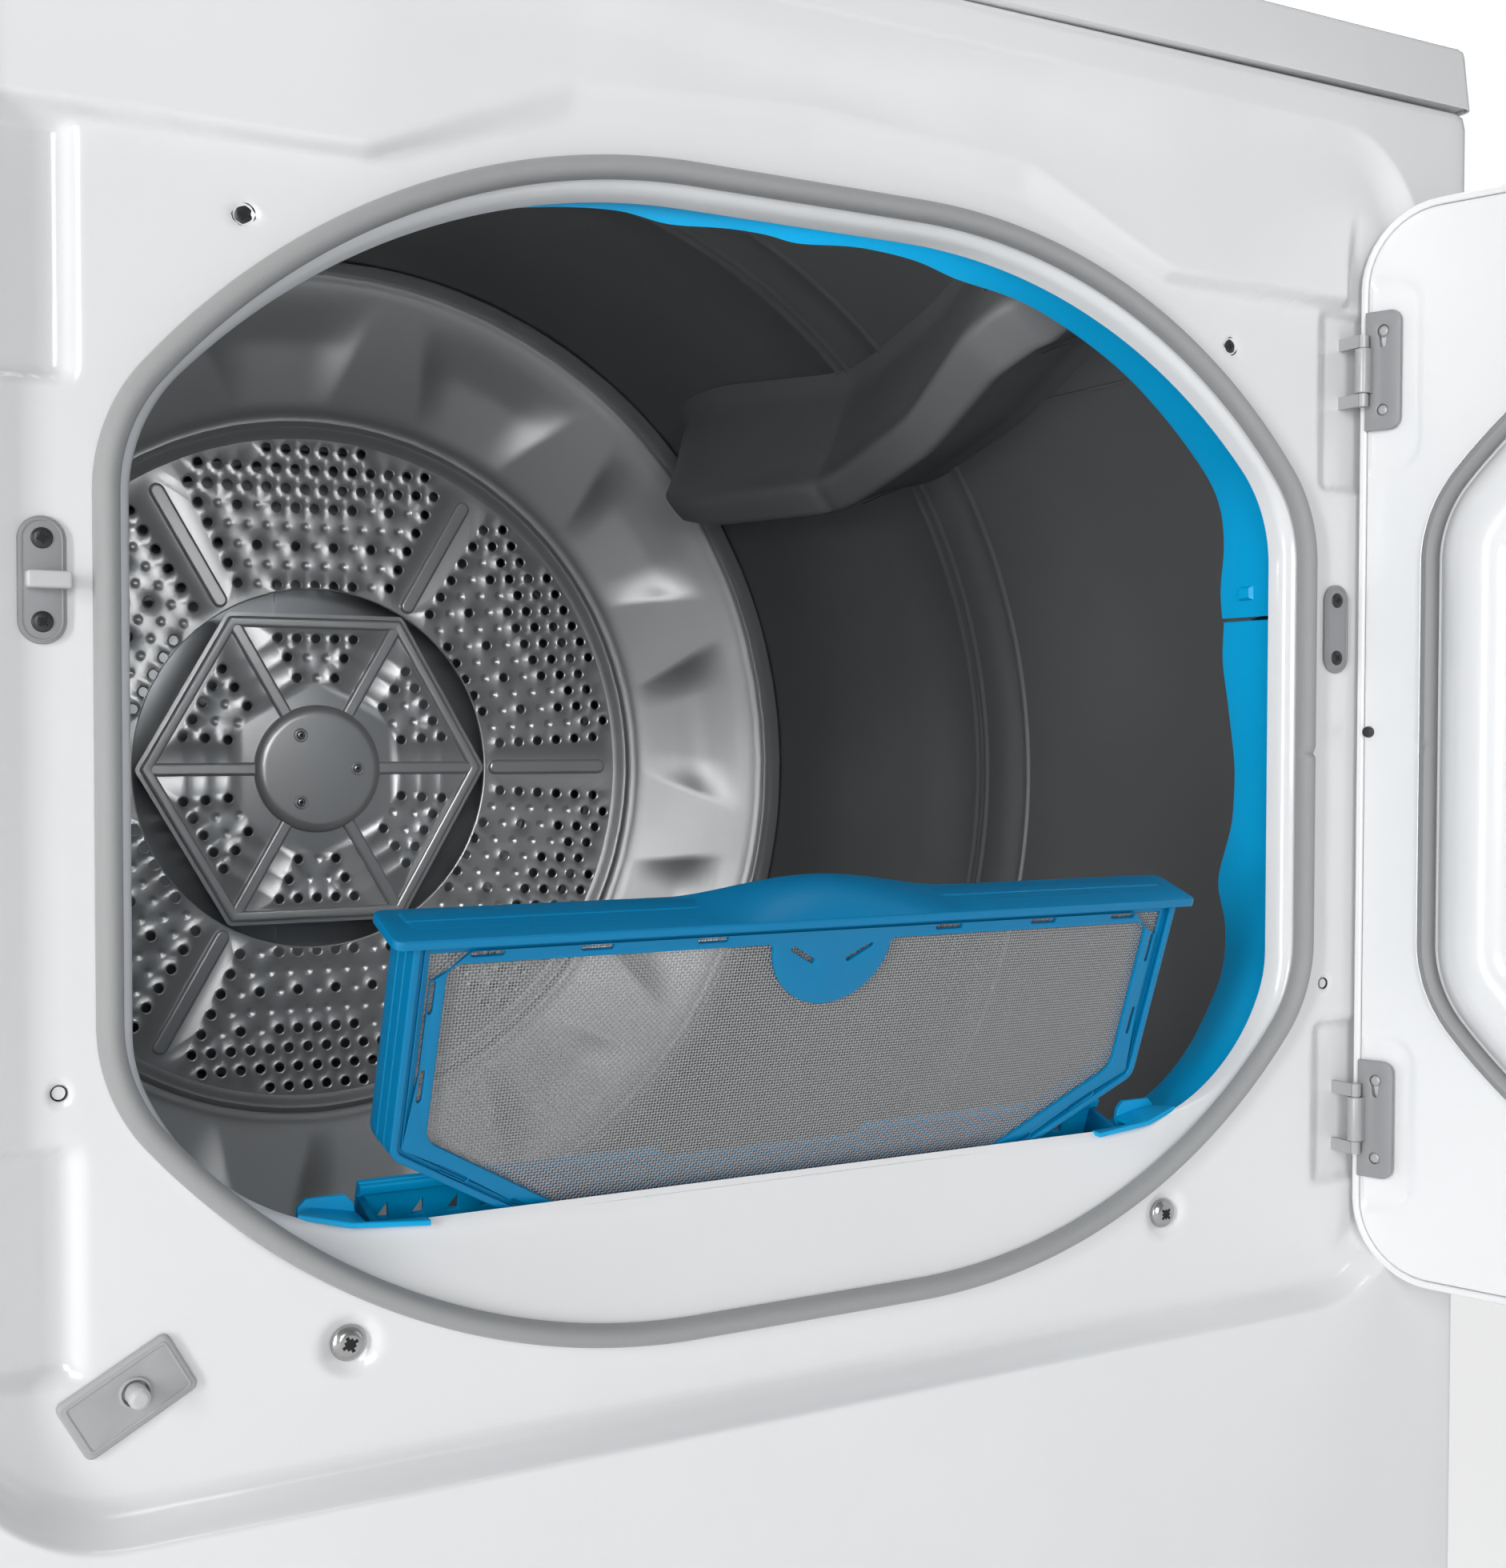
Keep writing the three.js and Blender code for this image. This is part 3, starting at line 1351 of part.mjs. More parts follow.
const fanFront = 66;
const fanRear = 124;
const wheelRadius = 60;
const bladeDepth = 16;
const scrollStart = 68;
const scrollEnd = 85;
const scrollOutlet = 110; // how far the blower's outlet lies to the right of its axis

function blowerWheel() {
  const blades = Array.from({ length: 10 }, (_, i) =>
    block(wheelRadius - bladeDepth, wheelRadius - 1, fanFront + 6, fanRear - 6, -1, 1).rotateY((i * Math.PI) / 5),
  );
  const disc = turned(
    [[0, fanRear - 9], [wheelRadius, fanRear - 9], [wheelRadius, fanRear - 5], [12, fanRear - 5],
      [motorShaft, fanRear + 4], [motorShaft, motorFront + 4], [0, motorFront + 4]],
    28,
  );
  const hoopInner = wheelRadius - bladeDepth;
  const hoop = turned(
    [[hoopInner, fanFront + 4], [wheelRadius, fanFront + 4], [wheelRadius, fanFront + 8], [hoopInner, fanFront + 8]],
    28,
  );
  return joined(disc, hoop, ...blades);
}

// The spiral outline of the blower housing, which ends in a straight outlet to the right.
function scrollShape(grow) {
  const shape = new THREE.Shape();
  const steps = 20;
  for (let i = 0; i <= steps; i++) {
    const angle = -Math.PI / 2 - (1.5 * Math.PI * (steps - i)) / steps;
    const reach = scrollStart + ((scrollEnd - scrollStart) * i) / steps + grow;
    shape[i ? "lineTo" : "moveTo"](reach * Math.cos(angle), reach * Math.sin(angle));
  }
  shape.lineTo(scrollOutlet, -scrollEnd - grow);
  shape.lineTo(scrollOutlet, -24 + grow);
  shape.lineTo(scrollStart + grow, -24 + grow);
  return shape;
}

function blowerHousing() {
  const wall = 2;
  const inletRadius = 46;
  return cut(
    plate(scrollShape(0), fanRear + wall, fanRear - fanFront + 2 * wall),
    plate(scrollShape(-wall), fanRear, fanRear - fanFront),
    block(scrollOutlet - 10, scrollOutlet + 10, fanFront, fanRear, -scrollEnd + wall, -26),
    rod(inletRadius, fanFront - 10, fanFront + 10, 24),
    rod(14, fanRear - 10, fanRear + 10, 16),
  );
}

function addBlower() {
  const fan = new THREE.Group();
  fan.position.set(motorX, 0, motorZ);
  dryer.add(fan);
  add("blower_wheel", blowerWheel(), black, fan);
  add("blower_housing", blowerHousing(), greyPlastic, fan);
  const footHalf = 40;
  const foot = block(
    motorX - footHalf, motorX + footHalf, fanFront + 5, fanRear - 5, baseFloor, motorZ - scrollEnd - seamGap,
  );
  add("blower_foot", foot, zinc);
  const ductStart = motorX + scrollOutlet + seamGap;
  add("exhaust_duct", exhaustRings(ductStart, motorZ - 54.5, fanFront, fanRear), zinc);
}

function addDrive() {
  add("drive_belt", driveBelt(), black);
  addMotor();
  addTensioner();
  addBlower();
}

// The exhaust pipe leaves the blower as a rectangle, turns to the rear and grows round.
function exhaustRings(startX, startZ, front, rear) {
  const count = 12;
  const turnRadius = 70;
  const middleY = (front + rear) / 2;
  const place = (share) => {
    const angle = (Math.PI / 2) * share;
    const centreX = exhaustX - turnRadius;
    return {
      x: centreX + turnRadius * Math.sin(angle),
      y: middleY + turnRadius * (1 - Math.cos(angle)),
      z: THREE.MathUtils.lerp(startZ, exhaustZ, share),
      heading: angle,
    };
  };
  const spots = [
    { x: startX, y: middleY, z: startZ, heading: 0, square: 1, radius: 29.5 },
    { x: startX + 18, y: middleY, z: startZ, heading: 0, square: 0.8, radius: 29 },
    ...[0, 0.25, 0.5, 0.75, 1].map((s) => ({ ...place(s), square: 0, radius: 28 + 10 * s })),
    { x: exhaustX, y: middleY + turnRadius + 60, z: exhaustZ, heading: Math.PI / 2, square: 0, radius: exhaustRadius },
    { x: exhaustX, y: rearFace + 22, z: exhaustZ, heading: Math.PI / 2, square: 0, radius: exhaustRadius },
  ];
  const skin = (grow) =>
    spots.map(({ x, y, z, heading, square, radius }) =>
      Array.from({ length: count }, (_, i) => {
        const angle = (2 * Math.PI * i) / count + Math.PI / count;
        const corner = 1 / Math.max(Math.abs(Math.cos(angle)), Math.abs(Math.sin(angle)));
        const reach = (radius + grow) * THREE.MathUtils.lerp(1, corner, square);
        const [side, up] = [reach * Math.cos(angle), reach * Math.sin(angle)];
        return new THREE.Vector3(x + side * Math.sin(heading), y - side * Math.cos(heading), z + up);
      }),
    );
  return loft([...skin(0), ...skin(-1).reverse()], true);
}

// The duct that carries air from the filter's pocket down to the blower's inlet.
function lintDuct() {
  const wall = 2;
  const top = spoutFoot - seamGap;
  const hoodHalf = 56;
  const hoodFront = 18;
  const hoodRear = 60;
  const level = (x0, x1, y0, y1, z, grow) =>
    [[x0 - grow, y0 - grow], [x1 + grow, y0 - grow], [x1 + grow, y1 + grow], [x0 - grow, y1 + grow]].map(
      ([x, y]) => new THREE.Vector3(x, y, z),
    );
  const channel = (grow) =>
    loft([
      level(-spoutHalf, spoutHalf, spoutFront, spoutRear, top - (grow < 0 ? -1 : 0), grow),
      level(-spoutHalf, spoutHalf, spoutFront, spoutRear, top - 6, grow),
      level(motorX - hoodHalf, motorX + hoodHalf, hoodFront, hoodRear, motorZ + 60, grow),
      level(motorX - hoodHalf, motorX + hoodHalf, hoodFront, hoodRear, motorZ - 58 - grow, grow),
    ]);
  const inlet = rod(44, hoodRear - 10, hoodRear + 10, 24).translate(motorX, 0, motorZ);
  return cut(channel(0), channel(-wall), inlet);
}

// ---- door, drawn closed about its hinge axis and then swung open ----
function doorOutline(inset, radius = doorCorner - inset) {
  return shapePoints(
    roundedRect(doorHalfWidth - inset, doorBottom + inset, doorTop - inset, Math.max(radius, 4)),
  );
}

function doorSkin() {
  const hem = 1.6;
  const dome = [[0, 0], [0, hem], [9, hem + 3.4], [22, 13], [46, 25], [76, 31.5], [110, doorThickness]];
  const rings = dome.map(([inset, out]) =>
    ring(doorOutline(inset, doorCorner + inset * 0.15), doorPlane - out, doorMiddle),
  );
  return pressedPan(rings, -sheet);
}

const bulgeHeight = 15;
const dishDepth = 20;
function doorInner() {
  const edge = 3.5;
  const line = (grow) => (angle) => rayLength(gasketLine(grow), doorMiddle, angle);
  const steps = [
    [doorOutline(edge), 1.8],
    [doorOutline(edge + 0.4), 0.4],
    [doorOutline(edge + 1.6), 0],
    [line(1.5), 0],
    [line(0.8), 2],
    [line(-7.4), 2],
    [line(-8.6), 0],
    [line(-17), -bulgeHeight + 4],
    [line(-24), -bulgeHeight],
    [line(-34), -bulgeHeight],
    [line(-44), -bulgeHeight + 6],
    [line(-58), dishDepth],
  ];
  return steps.map(([outline, out]) => ring(outline, doorPlane - out, doorMiddle));
}

function addDoor() {
  const closed = new THREE.Group();
  closed.position.set(-hingeX, -hingeY, 0);
  const door = new THREE.Group();
  door.position.set(hingeX, hingeY, 0);
  door.rotation.z = doorOpenAngle;
  door.add(closed);
  dryer.add(door);
  add("door_outer_skin", doorSkin(), white, closed);
  add("door_inner_panel", pressedPan(doorInner(), -sheet), white, closed);
  const sealFace = doorPlane - 2 + seamGap;
  const sealCrown = -seamGap - gasketHeight - 1 - sealFace;
  const sealLine = (grow) => (angle) => rayLength(gasketLine(grow), doorMiddle, angle);
  const seal = loft(
    [[0.2, 0], [0.2, 0.6], [-1.4, 1], [-4.8, 1], [-6.6, 0.6], [-6.6, 0]].map(([grow, out]) =>
      ring(sealLine(grow), sealFace + out * sealCrown, doorMiddle),
    ),
    true,
  );
  add("door_seal", seal, paleGrey, closed);

  const catchBody = joined(block(-7, 7, 0, 4.2, -12, 12), block(-7, -4, 0, 8, -8, 8));
  catchBody.translate(-latchX + 4, doorPlane + seamGap, latchZ + 16);
  add("door_catch", catchBody, greyPlastic, closed);

  for (const [name, side] of [["upper", 1], ["lower", -1]]) {
    const middle = doorMiddle + side * hingeSpread;
    const leafFace = doorPlane + seamGap;
    const leaf = block(hingeX - 16, hingeX + 1, leafFace, leafFace + 1.5, middle - 26.7, middle + 26.7);
    const barrel = standing(3.5, middle - 10, middle + 10, 14).translate(hingeX, hingeY, 0);
    const web = block(hingeX - 3.5, hingeX + 0.5, leafFace, hingeY, middle - 10, middle + 10);
    const bore = standing(2.3, middle - 12, middle + 12, 12).translate(hingeX, hingeY, 0);
    add(`door_hinge_leaf_${name}`, cut(joined(leaf, barrel, web), bore), greyPlastic, closed);
    addHingeBracket(name, middle);
  }
}

// The cabinet's half of a hinge: a pin between two ears whose arms go back through the panel.
function addHingeBracket(name, middle) {
  const back = pocketDepth + sheet + seamGap;
  const ear = (z0, z1) =>
    joined(
      standing(2.5, z0, z1, 14).translate(hingeX, hingeY, 0),
      block(hingeX - 3, hingeX - 1, hingeY, back + 1.5, z0, z1),
    );
  const wing = block(hingeX - 14, hingeX - 1, back, back + 1.5, middle - 25, middle + 25);
  const pin = standing(2, middle - 11, middle + 11, 12).translate(hingeX, hingeY, 0);
  add(
    `hinge_bracket_${name}`,
    joined(ear(middle + 10.4, middle + 16), ear(middle - 16, middle - 10.4), wing, pin),
    greyPlastic,
  );
}

addCabinet();
addConsole();
add("opening_gasket", openingGasket(), paleGrey);
add("upper_bearing_ring", bearingRing(seamAngle, Math.PI - seamAngle, 24), blue);
add("lower_bearing_ring", lowerBearingRing(), blue);
add("filter_housing", filterHousing(), blue);
add("filter_grille", filterGrille(), blue);
addFilter();
addFrontFittings();
addDrum();
addGlides();
addDrive();
add("lint_duct", lintDuct(), greyPlastic);
addDoor();

// The origin lies under the middle of the whole object as it stands, on the floor.
dryer.updateMatrixWorld(true);
const reach = new THREE.Box3().setFromObject(dryer, true);
const middle = reach.getCenter(new THREE.Vector3());
dryer.position.set(-middle.x, -middle.y, 0);

export default dryer;
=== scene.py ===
# Clothes dryer with its door open and its lint filter lifted: the looks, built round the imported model.
import bpy, bmesh
import math
import numpy as np
from mathutils import Matrix, Vector
from mathutils.geometry import delaunay_2d_cdt


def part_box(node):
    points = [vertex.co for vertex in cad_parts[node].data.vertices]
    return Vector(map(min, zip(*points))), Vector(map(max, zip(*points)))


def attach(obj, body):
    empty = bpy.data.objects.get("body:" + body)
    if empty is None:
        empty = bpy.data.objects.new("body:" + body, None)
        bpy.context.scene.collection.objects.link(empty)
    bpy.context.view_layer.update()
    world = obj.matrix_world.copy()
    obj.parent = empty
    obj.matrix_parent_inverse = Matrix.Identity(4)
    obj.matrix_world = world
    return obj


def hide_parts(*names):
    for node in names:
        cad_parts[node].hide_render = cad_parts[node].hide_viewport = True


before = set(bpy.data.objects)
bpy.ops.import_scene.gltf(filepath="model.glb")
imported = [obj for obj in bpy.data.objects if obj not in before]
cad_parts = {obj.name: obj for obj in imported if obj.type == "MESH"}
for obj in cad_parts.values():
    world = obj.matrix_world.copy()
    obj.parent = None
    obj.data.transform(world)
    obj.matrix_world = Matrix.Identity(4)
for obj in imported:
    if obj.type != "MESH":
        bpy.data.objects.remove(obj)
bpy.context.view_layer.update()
print("frame loaded:", len(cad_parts), "solids")

# Millimetres: x from the middle of the cabinet, y into it from the recess floor, z up from the room's floor.
recess = dict(depth=18.0, half=315.0, top=860.0, bottom=331.0, corner=61.0)
cabinet = dict(half=343.0, low=45.3, high=874.4, padTop=780.0)
drum = dict(axis=564.0, radius=329.0, back=646.8, disc=222.0, rim=122.0)
door = dict(low=340.5, high=826.0, half=290.0, corner=36.0, plane=-13.0, middle=583.25, angle=108.2,
            hingeX=286.5, hingeY=-8.3, spread=169.5)
lint = dict(tilt=19.5, front=13.4, level=416.0, lift=108.4)
panelLow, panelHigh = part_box("front_panel")
origin = np.array([(panelLow.x + panelHigh.x) / 2, panelLow.y + recess["depth"] / 1000, 0.0])


def toFrame(points):
    return np.asarray(points, float) / 1000 + origin


def spun(points, degrees, first=0, second=1):
    # points turned in the plane of two of their columns
    cos, sin = math.cos(math.radians(degrees)), math.sin(math.radians(degrees))
    points = np.array(points, float)
    a, b = points[:, first].copy(), points[:, second].copy()
    points[:, first], points[:, second] = a * cos - b * sin, a * sin + b * cos
    return points


def doorPlace(points):
    # the door is drawn closed and swings about its hinge pins
    pin = [door["hingeX"], door["hingeY"], 0]
    return spun(np.asarray(points, float) - pin, door["angle"]) + pin


def pocketPlace(points, lift=0.0):
    # the filter and its pocket are drawn upright, then tilted about the sill
    return spun(np.asarray(points, float) + [0, 0, lift], lint["tilt"], 1, 2) + [0, lint["front"], lint["level"]]


def filterPlace(points):
    return pocketPlace(points, lint["lift"])


class Value:
    # a socket that can be added, multiplied and compared like a number
    def __init__(self, nodes, socket):
        self.nodes, self.socket = nodes, socket

    def maths(self, operation, first, second=0.0):
        return self.nodes.node("Math", dict(operation=operation), {0: first, 1: second})

    def __add__(self, other): return self.maths("ADD", self, other)
    def __radd__(self, other): return self.maths("ADD", other, self)
    def __sub__(self, other): return self.maths("SUBTRACT", self, other)
    def __rsub__(self, other): return self.maths("SUBTRACT", other, self)
    def __mul__(self, other): return self.maths("MULTIPLY", self, other)
    def __rmul__(self, other): return self.maths("MULTIPLY", other, self)
    def __lt__(self, other): return self.maths("LESS_THAN", self, other)
    def __gt__(self, other): return self.maths("GREATER_THAN", self, other)
    def sine(self): return self.maths("SINE", self)
    def fraction(self): return self.maths("FRACT", self)
    def size(self): return self.maths("ABSOLUTE", self)
    def most(self, other): return self.maths("MAXIMUM", self, other)


def linear(colour):
    parts = [c / 255 for c in colour]
    return tuple(c / 12.92 if c < 0.04045 else ((c + 0.055) / 1.055) ** 2.4 for c in parts) + (1.0,)


class Nodes:
    # a node tree, and the one way in which a node is added to it
    def __init__(self, tree):
        self.tree = tree

    def node(self, kind, settings=None, sockets=None, output=0):
        made = self.tree.nodes.new("ShaderNode" + kind)
        for key, setting in (settings or {}).items():
            if key == "stops":
                for element, (place, tone) in zip(made.color_ramp.elements, setting):
                    element.position, element.color = place, (tone, tone, tone, 1)
            else:
                setattr(made, key, setting)
        for key, given in (sockets or {}).items():
            if isinstance(given, Value):
                self.tree.links.new(given.socket, made.inputs[key])
            else:
                made.inputs[key].default_value = given
        return Value(self, made.outputs[output] if made.outputs else None)


class Recipe(Nodes):
    # one material: its shader and the nodes that feed it
    def __init__(self, name, colour, **numbers):
        self.material = bpy.data.materials.new(name)
        self.material.use_nodes = True
        super().__init__(self.material.node_tree)
        self.shader = self.tree.nodes["Principled BSDF"]
        self.colour = linear(colour)
        self.shader.inputs["Base Color"].default_value = self.colour
        for socket, number in numbers.items():
            self.shader.inputs[socket.replace("_", " ")].default_value = number

    def feed(self, socket, value):
        self.tree.links.new(value.socket, self.shader.inputs[socket])

    def place(self):
        return self.node("TexCoord", output="Object")

    def axes(self, vector):
        apart = self.node("SeparateXYZ", {}, {0: vector})
        return [Value(self, socket) for socket in apart.socket.node.outputs]

    def noise(self, scale, detail=2.0, place=None):
        return self.node("TexNoise", {}, {"Vector": place or self.place(), "Scale": scale, "Detail": detail})

    def ramp(self, value, stops):
        return self.node("ValToRGB", {"stops": stops}, {0: value})

    def bump(self, height, depth):
        return self.node("Bump", {}, {"Height": height, "Distance": depth, "Strength": 1.0})

    def tint(self, amount, colour):
        # lays a colour over the base by an amount from 0 to 1
        return self.node("Mix", dict(data_type="RGBA"), {0: amount, 6: self.colour, 7: linear(colour)}, output=2)


finishes = {}


def plainFinish(name, colour, wobble=0.02, wobbleScale=900.0, cloud=0.2, rough=0.05, **numbers):
    # a moulded or painted surface: soft clouds of tone, uneven gloss and a fine texture
    made = Recipe(name, colour, **numbers)
    base = made.shader.inputs["Roughness"].default_value
    clouds = made.ramp(made.noise(9.0, 3.0), [(0.35, 0.0), (0.75, cloud)])
    made.feed("Base Color", made.tint(clouds, tuple(c * 0.86 for c in colour)))
    made.feed("Roughness", made.noise(36.0, 4.0) * (2 * rough) + (base - rough))
    if wobble:
        made.feed("Normal", made.bump(made.noise(wobbleScale, 3.0), wobble / 1000))
    finishes[name] = made.material


plainFinish("whiteEnamel", (233, 234, 235), Roughness=0.2, Coat_Weight=0.35, Coat_Roughness=0.06, wobble=0.012,
            wobbleScale=420.0, cloud=0.1, rough=0.035)
plainFinish("doorEnamel", (237, 238, 239), Roughness=0.22, Coat_Weight=0.3, Coat_Roughness=0.08, wobble=0.01,
            wobbleScale=420.0, cloud=0.06, rough=0.03)
plainFinish("greyPlate", (150, 151, 153), Roughness=0.42, Metallic=0.1)
plainFinish("paleSteel", (176, 177, 178), Roughness=0.36, Metallic=0.2)
plainFinish("darkScrew", (66, 67, 68), Roughness=0.34, Metallic=0.6, cloud=0.3, rough=0.06)
plainFinish("brightScrew", (176, 176, 176), Roughness=0.24, Metallic=0.85, wobble=0.01, cloud=0.3, rough=0.06)
plainFinish("zincSteel", (168, 171, 174), Roughness=0.34, Metallic=0.9, wobbleScale=160.0, cloud=0.25, rough=0.08)
# near black, painted shade: it fills screw recesses, lifter slits and the panel's blind holes
plainFinish("shadowGap", (28, 28, 29), Roughness=0.8, wobble=0, cloud=0.3)
plainFinish("dialInk", (70, 72, 74), Roughness=0.5, wobble=0, rough=0.04)
plainFinish("greyPlastic", (196, 197, 198), Roughness=0.42, wobbleScale=700.0, cloud=0.15)
plainFinish("switchPlastic", (172, 173, 174), Roughness=0.45, cloud=0.15)
plainFinish("blackPlastic", (44, 45, 47), Roughness=0.4, wobbleScale=800.0, rough=0.06)
plainFinish("bluePlastic", (0, 124, 174), Roughness=0.36, Specular_IOR_Level=0.3, cloud=0.12)
plainFinish("ringBlue", (0, 170, 228), Roughness=0.34, Specular_IOR_Level=0.35, cloud=0.12)
plainFinish("knobWhite", (228, 229, 229), Roughness=0.34, wobble=0.015, wobbleScale=800.0, cloud=0.08, rough=0.04)
plainFinish("consoleGrey", (206, 207, 208), Roughness=0.38, cloud=0.1)
plainFinish("lifterPlastic", (104, 105, 106), Roughness=0.5, wobble=0.04, cloud=0.3, rough=0.06)
plainFinish("gasketFelt", (158, 159, 159), Roughness=0.68, wobble=0.08, wobbleScale=1400.0, Sheen_Weight=0.15)
plainFinish("sealRubber", (150, 151, 152), Roughness=0.5, wobble=0.04, wobbleScale=1200.0)
plainFinish("beltRubber", (30, 30, 31), Roughness=0.7, wobble=0.05)


def satinSteel(name, colour, streak, **numbers):
    # rolled steel: faint brushing round the drum's axis and clouds of uneven polish
    made = Recipe(name, colour, **numbers)
    x, y, z = made.axes(made.place())
    grain = made.noise(1.0, 3.0, made.node("CombineXYZ", {}, {0: x * 6.0, 1: y * 900.0, 2: z * 6.0}))
    cloudy = made.noise(7.0, 4.0)
    made.feed("Base Color", made.tint(made.ramp(cloudy, [(0.3, 0.0), (0.8, 0.35)]), tuple(c * 0.8 for c in colour)))
    base = made.shader.inputs["Roughness"].default_value
    made.feed("Roughness", cloudy * 0.14 + grain * 0.06 + (base - 0.1))
    made.feed("Normal", made.bump(grain, streak / 1000))
    finishes[name] = made.material


satinSteel("drumCoat", (122, 123, 124), 0.01, Roughness=0.34, Metallic=0.6)
satinSteel("discDish", (160, 161, 162), 0.01, Roughness=0.38, Metallic=0.55)
satinSteel("discSteel", (186, 187, 188), 0.008, Roughness=0.34, Metallic=0.6)

cloth = dict(pitch=0.00118, thread=0.225)  # metres between threads, and half a thread as a share of that


def screenFinish():
    # woven filter cloth: two sets of fine threads that pass over and under each other
    made = Recipe("screenCloth", (158, 159, 159), Roughness=0.55)
    x, z = made.axes(made.place())[::2]
    up = z * (1 / (cloth["pitch"] * math.cos(math.radians(lint["tilt"]))))
    across = x * (1 / cloth["pitch"])
    upright, level = [(way.fraction() - 0.5).size() < cloth["thread"] for way in (across, up)]
    made.feed("Alpha", upright.most(level))
    made.feed("Normal", made.bump((across * math.pi).sine() * (up * math.pi).sine(), 0.0002))
    made.feed("Base Color", made.tint(made.noise(900.0) * 0.4, (120, 121, 122)))
    made.feed("Roughness", made.noise(400.0) * 0.2 + 0.42)
    finishes["screenCloth"] = made.material


screenFinish()
print("finishes ready:", len(finishes))


def gridFaces(rows, columns, closed=True, turned=False):
    # four-cornered faces between neighbouring rows of points
    j, i = np.meshgrid(np.arange(rows - 1), np.arange(columns if closed else columns - 1), indexing="ij")
    k = (i + 1) % columns
    quads = np.stack([j * columns + i, j * columns + k, (j + 1) * columns + k, (j + 1) * columns + i], -1)
    quads = quads.reshape(-1, 4)
    return (quads[:, ::-1] if turned else quads).tolist()


class Piece:
    # gathers the surfaces of one piece, each with its own finish, and makes the object
    def __init__(self):
        self.points, self.faces, self.tones, self.count = [], [], [], 0

    def add(self, points, faces, tone=0):
        points = np.asarray(points, float).reshape(-1, 3)
        self.points.append(points)
        self.faces += [[i + self.count for i in face] for face in faces]
        self.tones += [tone] * len(faces)
        self.count += len(points)
        return self

    def sheet(self, rows, tone=0, closed=True, turned=False):
        # a grid of points, given row by row
        return self.add(rows, gridFaces(rows.shape[0], rows.shape[1], closed, turned), tone)

    def capped(self, rows, closed=True):
        # a grid of rows with a flat face over each end
        ring = list(range(rows.shape[1]))
        return self.sheet(rows, closed=closed).add(rows[0], [ring]).add(rows[-1], [ring[::-1]])

    def make(self, name, finish, body="cabinet", slot="white_enamel", smooth=38.0, replaces=(), place=None, tidy=True):
        # smooth is the angle from which an edge stays sharp; tidy welds and turns the faces
        points = np.concatenate(self.points)
        mesh = bpy.data.meshes.new(name)
        mesh.from_pydata(toFrame(place(points) if place else points).tolist(), [], self.faces)
        for each in [finish] if isinstance(finish, str) else finish:
            mesh.materials.append(finishes[each])
        mesh.polygons.foreach_set("material_index", self.tones)
        mesh.validate()
        if tidy:
            worked = bmesh.new()
            worked.from_mesh(mesh)
            bmesh.ops.remove_doubles(worked, verts=worked.verts, dist=1e-6)
            bmesh.ops.recalc_face_normals(worked, faces=worked.faces)
            worked.to_mesh(mesh)
            worked.free()
        piece = bpy.data.objects.new(name, mesh)
        bpy.context.scene.collection.objects.link(piece)
        mesh.shade_smooth()
        if smooth:
            mesh.set_sharp_from_angle(angle=math.radians(smooth))
        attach(piece, body)
        if replaces:
            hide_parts(*replaces)
        return piece


def step(value, low, high):
    # a soft rise from 0 at low to 1 at high
    t = np.clip((np.asarray(value, float) - low) / (high - low), 0, 1)
    return t * t * (3 - 2 * t)


def arc(cx, cz, radius, first, last, count=24):
    turn = np.radians(np.linspace(first, last, count))
    return np.stack([cx + radius * np.cos(turn), cz + radius * np.sin(turn)], -1)


def circle(cx, cz, radius, count=24):
    turn = np.linspace(0, 2 * math.pi, count, endpoint=False)
    return np.stack([cx + radius * np.cos(turn), cz + radius * np.sin(turn)], -1)


def roundRect(half, bottom, top, corner, count=24):
    x, low, high = half - corner, bottom + corner, top - corner
    return np.concatenate([arc(cx, cz, corner, first, first + 90, count) for cx, cz, first in
                           [(x, high, 0), (-x, high, 90), (-x, low, 180), (x, low, 270)]])


def quarterOval(half, height, flat, side, tight, count=40):
    # a flat stretch, a long arc, a tight arc, a straight side
    reach, drop = half - flat, height - side
    long = (reach ** 2 - 2 * tight * reach + drop ** 2) / (2 * (drop - tight))
    turn = math.degrees(math.atan2(reach - tight, long - drop))
    upper = arc(flat, height - long, long, 90, 90 - turn, count)
    return np.concatenate([upper, arc(half - tight, side, tight, 90 - turn, 0, count)[1:]])


def oval(upper, lower, middle):
    right = np.concatenate([upper + [0, middle], (lower * [1, -1] + [0, middle])[::-1]])
    return np.concatenate([right, (right * [-1, 1])[::-1]])


def resample(outline, count):
    # evenly spaced points round a closed outline
    closed = np.concatenate([outline, outline[:1]])
    run = np.concatenate([[0], np.cumsum(np.hypot(*np.diff(closed, axis=0).T))])
    at = np.linspace(0, run[-1], count, endpoint=False)
    return np.stack([np.interp(at, run, closed[:, 0]), np.interp(at, run, closed[:, 1])], -1)


centreZ = 580.75


def rayReach(outline, turns, middle=centreZ):
    # the outline's distance from a point on the middle line, in each direction
    dense = resample(outline, 6000) - [0, middle]
    return np.interp(turns, np.arctan2(dense[:, 1], dense[:, 0]), np.hypot(*dense.T), period=2 * math.pi)


